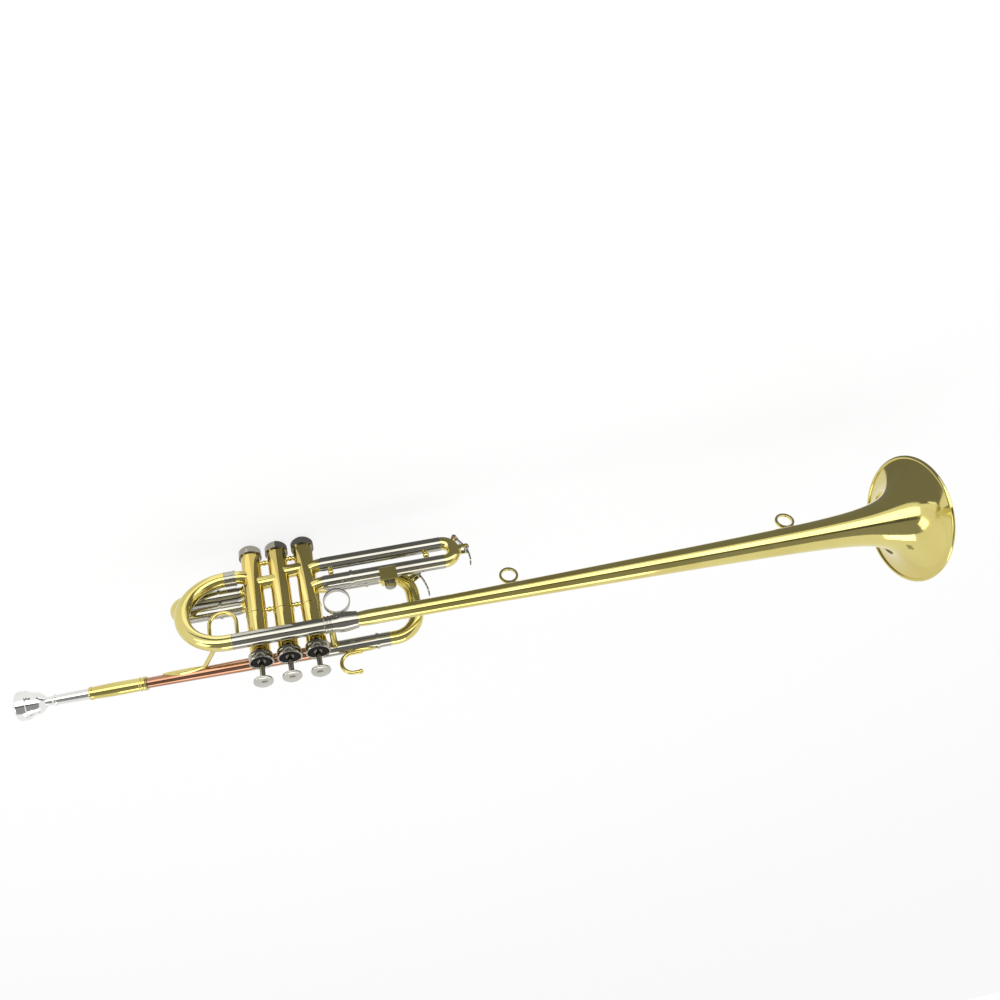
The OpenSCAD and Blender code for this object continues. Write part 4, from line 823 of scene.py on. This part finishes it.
def run_tree(
    name: str,
    tree: bpy.types.NodeTree,
    inputs: dict[str, Value],
    carrier: bpy.types.Mesh | None = None,
) -> bpy.types.Object:
    """Evaluate a Geometry Nodes tree into a plain mesh object at the origin.

    Args:
        name: name of the piece.
        tree: the tree to run.
        inputs: value of each input that differs from its default, by label.
        carrier: mesh that the tree starts from, or none.

    Returns:
        The plain object, with no modifier left.
    """
    holder = link(carrier or bpy.data.meshes.new(f"{name}_blank"), f"{name}_blank")
    modifier = holder.modifiers.new("build", "NODES")
    modifier.node_group = tree
    for item in tree.interface.items_tree:
        if item.item_type == "SOCKET" and item.in_out == "INPUT" and item.name in inputs:
            modifier[item.identifier] = inputs[item.name]
    graph = bpy.context.evaluated_depsgraph_get()
    mesh = bpy.data.meshes.new_from_object(holder.evaluated_get(graph))
    mesh.name = name
    bpy.data.objects.remove(holder)
    return link(mesh, name)


def merged_copy(node: str) -> bmesh.types.BMesh:
    """Copy a CAD node's mesh and merge its doubled corners.

    Args:
        node: CAD node, whose own mesh stays as it is.

    Returns:
        The copy as a bmesh.
    """
    work = bmesh.new()
    work.from_mesh(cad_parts[node].data)
    bmesh.ops.remove_doubles(work, verts=work.verts, dist=MERGE_GAP)
    return work


def polished_skin(node: str, body: str, finish: Finish) -> bpy.types.Object:
    """Stand a merged, smooth-shaded copy of a CAD node in for it.

    Args:
        node: CAD node, whose own mesh stays as it is.
        body: body that carries the node.
        finish: finish of the copy.

    Returns:
        The copy.
    """
    work = merged_copy(node)
    smooth_by_angle(work)
    mesh = mesh_from(work, f"{node}_skin", finish)
    return place_piece(link(mesh, mesh.name), body, (node,))


def skin_all(nodes: Iterable[str], body: str, finish: Finish) -> None:
    """Give several nodes of one body a smooth-shaded copy in one finish.

    Args:
        nodes: CAD nodes.
        body: body that carries them.
        finish: finish of the copies.
    """
    for node in nodes:
        polished_skin(node, body, finish)


@dataclass
class Mouthpiece:
    """Silver-plated mouthpiece, turned from its outline; radii and distances in millimetres."""

    rim: tuple[float, float, float] = (-0.2502, -0.0213, 0.0510)
    outside: tuple[tuple[float, float], ...] = (
        (13.6, 2.4),
        (13.6, 7.0),
        (13.1, 9.6),
        (12.2, 10.6),
        (11.2, 13.0),
        (10.4, 15.0),
        (10.1, 18.0),
        (9.2, 20.6),
        (7.4, 22.8),
        (5.4, 24.8),
        (4.2, 26.6),
        (4.1, 31.0),
        (4.5, 32.2),
        (5.3, 33.0),
        (5.3, 34.2),
        (4.5, 35.0),
        (4.6, 37.0),
        (4.8, 46.0),
        (5.1, 62.6),
        (5.1, 64.5),
        (4.65, 86.6),
    )
    inside: tuple[tuple[float, float], ...] = (
        (4.1, 86.6),
        (1.83, 20.0),
        (1.83, 14.0),
        (2.4, 12.0),
        (4.1, 10.2),
        (6.1, 7.8),
        (7.5, 4.8),
        (8.3, 2.0),
        (8.8, 0.9),
        (9.8, 0.2),
        (10.9, 0.0),
        (12.4, 0.3),
        (13.3, 1.2),
    )
    steps: int = 5
    straight_from: float = 15.0
    sides: int = 96

    def eased(self, ring: Sequence[Vector]) -> list[tuple[float, float]]:
        """Round the outline between its corners, but for the long straight cones.

        Args:
            ring: corners of the closed outline, in millimetres.

        Returns:
            Radius and distance of each corner of the rounded outline, in metres.
        """
        made = []
        count = len(ring)
        for i in range(count):
            before, low, high, after = (ring[(i + k) % count] for k in (-1, 0, 1, 2))
            longest = max((high - low).length, (low - before).length, (after - high).length)
            for step in range(1 if longest > self.straight_from else self.steps):
                t = step / self.steps
                curve = (
                    2 * low
                    + (high - before) * t
                    + (2 * before - 5 * low + 4 * high - after) * t**2
                    + (3 * low - before - 3 * high + after) * t**3
                ) / 2
                made.append((curve.x / 1000, curve.y / 1000))
        return made

    def build(self) -> None:
        """Turn the mouthpiece and stand it in for the plainer CAD one."""
        work = bmesh.new()
        along = Matrix.Rotation(math.pi / 2, 4, "Y")
        ring = [Vector(place) for place in (*self.outside, *self.inside)]
        add_lathe(work, self.eased(ring), Matrix.Translation(self.rim) @ along, self.sides)
        smooth_by_angle(work, ROUND_EDGE)
        mesh = mesh_from(work, "turned_mouthpiece", SILVER_PLATE)
        place_piece(link(mesh, mesh.name), "mouthpiece", ("mouthpiece",))


@dataclass
class WindWay:
    """Leadpipe and bell bow, with their ferrules, braces, finger loop and solder beads."""

    brass_nodes: tuple[str, ...] = (
        "mouthpiece_receiver",
        "bell_bow",
        "bell_bow_brace",
        "bell_leadpipe_brace",
        "finger_loop",
    )
    nickel_nodes: tuple[str, ...] = (
        "bell_bow_ferrule",
        "bell_socket_tube",
        "bell_socket_collar",
        "bell_socket_barrel",
        "finger_ring",
    )
    seams: tuple[Seam, ...] = (
        Seam((-0.0470, 0.0176, 0.0500), (1.0, 0.0, 0.0), 0.00715),
        Seam((0.0355, 0.0176, 0.0500), (1.0, 0.0, 0.0), 0.00725),
        Seam((-0.0511, 0.0055, -0.0312), (1.0, 0.0, 0.0), 0.00725),
        Seam((-0.1336, -0.0213, 0.0510), (1.0, 0.0, 0.0), 0.00630),
        Seam((0.0200, -0.0213, 0.0510), (1.0, 0.0, 0.0), 0.00635),
    )

    def build(self) -> None:
        """Dress the tubes, rings and braces that stay with the body, and lay the beads."""
        polished_skin("leadpipe", "body", RED_BRASS)
        lay_beads("solder_beads", self.seams, "body", NICKEL)
        skin_all(self.brass_nodes, "body", LACQUERED)
        skin_all(self.nickel_nodes, "body", NICKEL)


@dataclass
class ValveBlock:
    """Three casings with caps, pistons, stems, buttons, felts, springs and pinky hook."""

    valve_x: tuple[float, ...] = (-0.0257, 0.0, 0.0257)
    upper_felt: tuple[float, float, float, float] = (0.00395, 0.00925, 0.0630, 0.0650)
    lower_felt: tuple[float, float, float, float] = (0.0028, 0.0082, 0.05755, 0.0620)
    felt_edge: float = 0.0004
    felt_steps: int = 6
    felt_sides: int = 64
    felt_play: float = 0.0001
    felt_grain: float = 900.0
    felt_bumps: float = 0.00006
    spring_ends: tuple[float, float] = (0.0246, 0.0553)
    travel: float = 0.017
    seed: float = 4.0
    knuckle_end: float = 0.0395
    cut_play: float = 0.0000001

    def build(self) -> None:
        """Dress the valves and press the felt rings."""
        casings = ("valve_casing_1", "valve_casing_2", "valve_casing_3")
        skin_all(casings, "body", LACQUERED_UPRIGHT)
        skin_all(("intervalve_tubes", "valve_block_braces"), "body", LACQUERED)
        self.knuckles()
        skin_all(("top_caps", "bottom_caps"), "body", NICKEL_UPRIGHT)
        polished_skin("pinky_hook", "body", LACQUERED)
        dress(("valve_guides",), NICKEL)
        self.springs()
        for i in (1, 2, 3):
            skin_all((f"piston_{i}", f"valve_stem_{i}"), f"valve_{i}", NICKEL_UPRIGHT)
            polished_skin(f"finger_button_{i}", f"valve_{i}", SHADED_SILVER_UPRIGHT)
        self.felts()

    def springs(self) -> None:
        """Give each piston's spring a smooth-shaded copy with a mesh of its own."""
        for i, x in enumerate(self.valve_x, 1):
            piece = polished_skin(f"valve_spring_{i}", "body", SPRING_WIRE)
            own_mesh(piece)

    def knuckles(self) -> None:
        """Dress the knuckles in brass by the casings and in nickel where the slides begin."""
        work = merged_copy("slide_knuckles")
        for side in (-1.0, 1.0):
            bmesh.ops.bisect_plane(
                work,
                geom=[*work.verts, *work.edges, *work.faces],
                dist=self.cut_play,
                plane_co=(side * self.knuckle_end, 0.0, 0.0),
                plane_no=(1.0, 0.0, 0.0),
            )
        smooth_by_angle(work)
        mesh = mesh_from(work, "slide_knuckles_skin", LACQUERED)
        mesh.materials.append(NICKEL.material())
        for face in mesh.polygons:
            far = abs(face.center.x) > self.knuckle_end
            face.material_index = int(far and self.leads_to_valve_slide(face.center))
        place_piece(link(mesh, mesh.name), "body", ("slide_knuckles",))

    def leads_to_valve_slide(self, place: Vector) -> bool:
        """Say whether a knuckle's face leads to the first or the third slide.

        Args:
            place: middle of the face, in metres.

        Returns:
            True where it does.
        """
        first = place.x < 0.0 and place.y < 0.0
        third = place.x > 0.0 and place.y > 0.0
        return first or third

    def felts(self) -> None:
        """Press two soft felt rings for each valve, above and below its cap's floor."""
        work = bmesh.new()
        for x in self.valve_x:
            for inner, outer, low, high in (self.upper_felt, self.lower_felt):
                half = (high - low) / 2 - self.felt_play
                self.felt_ring(work, x, inner, outer, (low + high) / 2, half)
        for vert in work.verts:
            push = noise.noise(vert.co * self.felt_grain + Vector((self.seed, 0.0, 0.0)))
            vert.co.z += self.felt_bumps * push
        smooth_by_angle(work, FELT_EDGE)
        piece = link(mesh_from(work, "pressed_felts", BLACK_FELT), "pressed_felts")
        place_piece(piece, "body", ("cap_felts",))

    def felt_ring(
        self, work: bmesh.types.BMesh, x: float, inner: float, outer: float, middle: float, half: float
    ) -> None:
        """Add one felt ring with rounded edges.

        Args:
            work: bmesh that gets it.
            x: place of its valve.
            inner: inner radius in metres.
            outer: outer radius.
            middle: height of its middle.
            half: half its thickness.
        """
        profile = []
        for radius, side in ((outer, 1), (inner, -1)):
            for step in range(self.felt_steps + 1):
                turn = -math.pi / 2 + math.pi * step / self.felt_steps
                bulge = self.felt_edge * (math.cos(turn) - 1.0)
                profile.append((radius + side * bulge, side * half * math.sin(turn)))
        add_lathe(work, profile, Matrix.Translation((x, 0.0, middle)), self.felt_sides)


@dataclass
class TuningSlides:
    """Main, first, second and third slides with their outer tubes, water keys and lyre holder."""

    main_bend: Bend = Bend((0.0985, -0.0094, -0.0136), math.radians(10.4375), 0.024, 0.03067)
    third_bend: Bend = Bend((0.158, 0.0064, -0.0172), 0.0, 0.0, 0.01747)
    main_angles: tuple[float, float] = (-30.0, -66.0)
    third_angles: tuple[float, float] = (0.0, -45.0)
    main_lift: float = 0.0085
    third_lift: float = 0.0060

    def build(self) -> None:
        """Dress the slides and build the water keys' corks and springs."""
        skin_all(("main_slide_outer_tubes", "valve_slide_outer_tubes"), "body", NICKEL)
        polished_skin("main_slide_legs", "main_tuning_slide", NICKEL)
        skin_all(("main_slide_bow", "main_water_key_saddle"), "main_tuning_slide", LACQUERED)
        polished_skin("third_slide_legs", "third_slide", NICKEL)
        brass = ("third_slide_bow", "third_slide_brace", "lyre_holder", "third_water_key_saddle")
        skin_all(brass, "third_slide", LACQUERED)
        polished_skin("lyre_screw", "lyre_screw", NICKEL)
        polished_skin("main_water_key", "main_water_key", DARK_NICKEL)
        polished_skin("third_water_key", "third_water_key", DARK_NICKEL)
        for trim in (self.main_trim(), self.third_trim()):
            trim.build()
        for name in ("first_slide", "second_slide"):
            polished_skin(f"{name}_legs", name, NICKEL)
            polished_skin(f"{name}_bow", name, LACQUERED)

    def main_trim(self) -> WaterKeyTrim:
        """Return the soft and wound pieces of the main slide's water key."""
        return WaterKeyTrim(
            "main_water_key",
            self.main_bend,
            "main_tuning_slide",
            "main_water_key",
            *self.main_angles,
            self.main_lift,
        )

    def third_trim(self) -> WaterKeyTrim:
        """Return the soft and wound pieces of the third slide's water key."""
        return WaterKeyTrim(
            "third_water_key",
            self.third_bend,
            "third_slide",
            "third_water_key",
            *self.third_angles,
            self.third_lift,
        )


@dataclass(frozen=True)
class Card:
    """Flat glowing card that only polished metal shows, with its corners in metres: a painted reflection,
    dark or bright by its tone.
    """

    name: str
    tone: float
    corners: tuple[tuple[float, float, float], ...]


@dataclass
class Studio:
    """Pale floor, glowing cards that paint dark and bright reflections into the metal, soft lamps, world
    light and the photograph's camera.
    """

    floor_z: float = -0.0697
    floor_size: float = 12.0
    camera_place: tuple[float, float, float] = (0.0520, 0.65131, 0.49467)
    camera_right: tuple[float, float, float] = (0.98134, -0.04532, 0.18685)
    camera_up: tuple[float, float, float] = (0.17729, 0.58927, -0.78824)
    lens: float = 30.967
    sensor: float = 36.0
    nearest: float = 0.01
    shift: tuple[float, float] = (0.0968, 0.0964)
    floor_colour: tuple[float, float, float] = (0.86, 0.86, 0.855)
    floor_glow: float = 0.8
    world_light: float = 0.85
    # Glowing cards seen only in polished metal: painted reflections, dark where the tone is below 1, a
    # painted highlight above it.
    cards: tuple[Card, ...] = (
        Card(
            "low_card",
            0.22,
            ((0.0, -0.02, -0.0696), (1.5, -0.02, -0.0696), (1.5, 0.33, -0.0696), (0.0, 0.33, -0.0696)),
        ),
        Card(
            "middle_card",
            0.14,
            ((-0.16, 0.13, -0.0696), (0.0, 0.13, -0.0696), (0.0, 0.36, -0.0696), (-0.16, 0.36, -0.0696)),
        ),
        # Bright card: painted highlight on the casings' left sides, glowing above white though it is no
        # lamp.
        Card(
            "gold_card",
            1.5,
            ((-0.03, 0.02, -0.0695), (-0.02, 0.16, -0.0695), (-0.10, 0.16, -0.0695), (-0.07, 0.02, -0.0695)),
        ),
        Card(
            "strip_card",
            0.10,
            ((-1.8, 1.1, 0.66), (1.9, 1.1, 0.66), (1.9, 1.1, 1.0), (-1.8, 1.1, 1.0)),
        ),
        Card(
            "ceiling_card",
            0.32,
            ((-1.8, 1.1, 1.0), (1.9, 1.1, 1.0), (0.75, -0.12, 1.5), (-1.8, -0.12, 1.5)),
        ),
        Card(
            "button_card",
            0.40,
            ((-0.34, -1.5, 1.0), (0.10, -1.5, 1.0), (0.10, -1.5, 1.6), (-0.34, -1.5, 1.6)),
        ),
    )

    def build(self) -> None:
        """Set up the whole studio."""
        scene = bpy.context.scene
        scene.view_settings.view_transform = "Standard"
        self.camera()
        self.floor()
        for card in self.cards:
            self.hang(card)
        self.lamps()
        self.world()

    def camera(self) -> None:
        """Place the camera of the photograph."""
        lens = bpy.data.cameras.new("photo_camera")
        lens.lens = self.lens
        lens.sensor_width = self.sensor
        lens.shift_x, lens.shift_y = self.shift
        lens.clip_start = self.nearest
        made = bpy.data.objects.new("photo_camera", lens)
        right, up = Vector(self.camera_right), Vector(self.camera_up)
        back = right.cross(up)
        turned = Matrix((right, up, back)).transposed().to_4x4()
        made.matrix_world = Matrix.Translation(self.camera_place) @ turned
        bpy.context.scene.collection.objects.link(made)
        bpy.context.scene.camera = made

    def sheet(self, name: str, ring: Sequence[tuple[float, float, float]]) -> bpy.types.Object:
        """Make a flat stage sheet.

        Args:
            name: name of the sheet.
            ring: its corners in order, in metres.

        Returns:
            The sheet.
        """
        work = bmesh.new()
        work.faces.new([work.verts.new(corner) for corner in ring])
        mesh = bpy.data.meshes.new(name)
        work.to_mesh(mesh)
        work.free()
        made = link(mesh, name)
        return made

    def floor(self) -> None:
        """Lay a pale floor that reads white and keeps a soft shadow."""
        half = self.floor_size / 2
        z = self.floor_z
        ring = ((-half, -half, z), (half, -half, z), (half, half, z), (-half, half, z))
        made = self.sheet("studio_floor", ring)
        paint, graph, shader = new_paint("pale_floor")
        shader.inputs["Base Color"].default_value = (*self.floor_colour, 1.0)
        shader.inputs["Roughness"].default_value = 0.9
        shader.inputs["Specular IOR Level"].default_value = 0.1
        glow = graph.node("ShaderNodeEmission", {"Color": (1.0, 1.0, 1.0, 1.0), "Strength": 1.0})
        share = graph.math("MULTIPLY", graph.seen(), self.floor_glow)
        mixed = graph.node("ShaderNodeMixShader", {0: share, 1: shader.outputs[0], 2: glow.outputs[0]})
        graph.feed(paint.node_tree.nodes["Material Output"].inputs["Surface"], mixed.outputs[0])
        made.data.materials.append(paint)

    def hang(self, card: Card) -> None:
        """Hang one glowing card, seen only in polished metal as a painted reflection.

        Args:
            card: the card.
        """
        made = self.sheet(card.name, card.corners)
        paint, _, shader = new_paint(card.name)
        shader.inputs["Base Color"].default_value = (0.0, 0.0, 0.0, 1.0)
        shader.inputs["Specular IOR Level"].default_value = 0.0
        # The card's emission is its painted reflection; it glows though it is no lamp.
        shader.inputs["Emission Color"].default_value = (card.tone, card.tone, card.tone, 1.0)
        shader.inputs["Emission Strength"].default_value = 1.0
        made.data.materials.append(paint)
        made.visible_camera = False
        made.visible_diffuse = False
        made.visible_shadow = False
        made.visible_transmission = False

    def lamps(self) -> None:
        """Hang the soft boxes: a low strip before the object, one overhead and one at its side."""
        self.soft_box("front_strip", (0.15, 1.2, 0.29), (0.15, 0.0, 0.29), (3.6, 0.76), 14.0)
        self.soft_box("key_box", (0.15, -0.35, 1.5), (0.15, 0.0, 0.0), (1.4, 0.7), 6.0)
        self.soft_box("side_box", (-1.3, 0.4, 0.9), (0.1, 0.0, 0.0), (0.7, 0.7), 3.0)

    def soft_box(
        self,
        name: str,
        place: tuple[float, float, float],
        target: tuple[float, float, float],
        size: tuple[float, float],
        power: float,
    ) -> None:
        """Hang one soft box.

        Args:
            name: lamp name.
            place: where it hangs, in metres.
            target: point that it faces.
            size: width and height in metres.
            power: power in watts.
        """
        lamp = bpy.data.lights.new(name, "AREA")
        lamp.shape = "RECTANGLE"
        lamp.size, lamp.size_y = size
        lamp.energy = power
        made = bpy.data.objects.new(name, lamp)
        made.location = place
        made.rotation_euler = (Vector(target) - Vector(place)).to_track_quat("-Z", "Y").to_euler()
        bpy.context.scene.collection.objects.link(made)

    def world(self) -> None:
        """Fill the room with soft white light that metal and the camera see as white."""
        world = bpy.data.worlds.new("studio_world")
        world.use_nodes = True
        bpy.context.scene.world = world
        graph = Graph(world.node_tree)
        back = world.node_tree.nodes["Background"]
        lift = graph.math("MULTIPLY", graph.seen(), 1.0 - self.world_light)
        graph.feed(back.inputs["Strength"], graph.math("ADD", lift, self.world_light))
        back.inputs["Color"].default_value = (1.0, 1.0, 1.0, 1.0)


def corners(pair: Sequence[Vector]) -> list[list[float]]:
    """Return a box's two corners as plain lists."""
    return [list(pair[0]), list(pair[1])]


def main() -> None:
    """Build the studio and every sub-assembly."""
    logging.basicConfig(level=logging.INFO, format="%(message)s")
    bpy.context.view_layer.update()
    for part in (Studio(), BellSection(), Mouthpiece(), WindWay(), ValveBlock(), TuningSlides()):
        part.build()
        LOG.info("%s done", type(part).__name__)


if __name__ == "__main__":
    main()
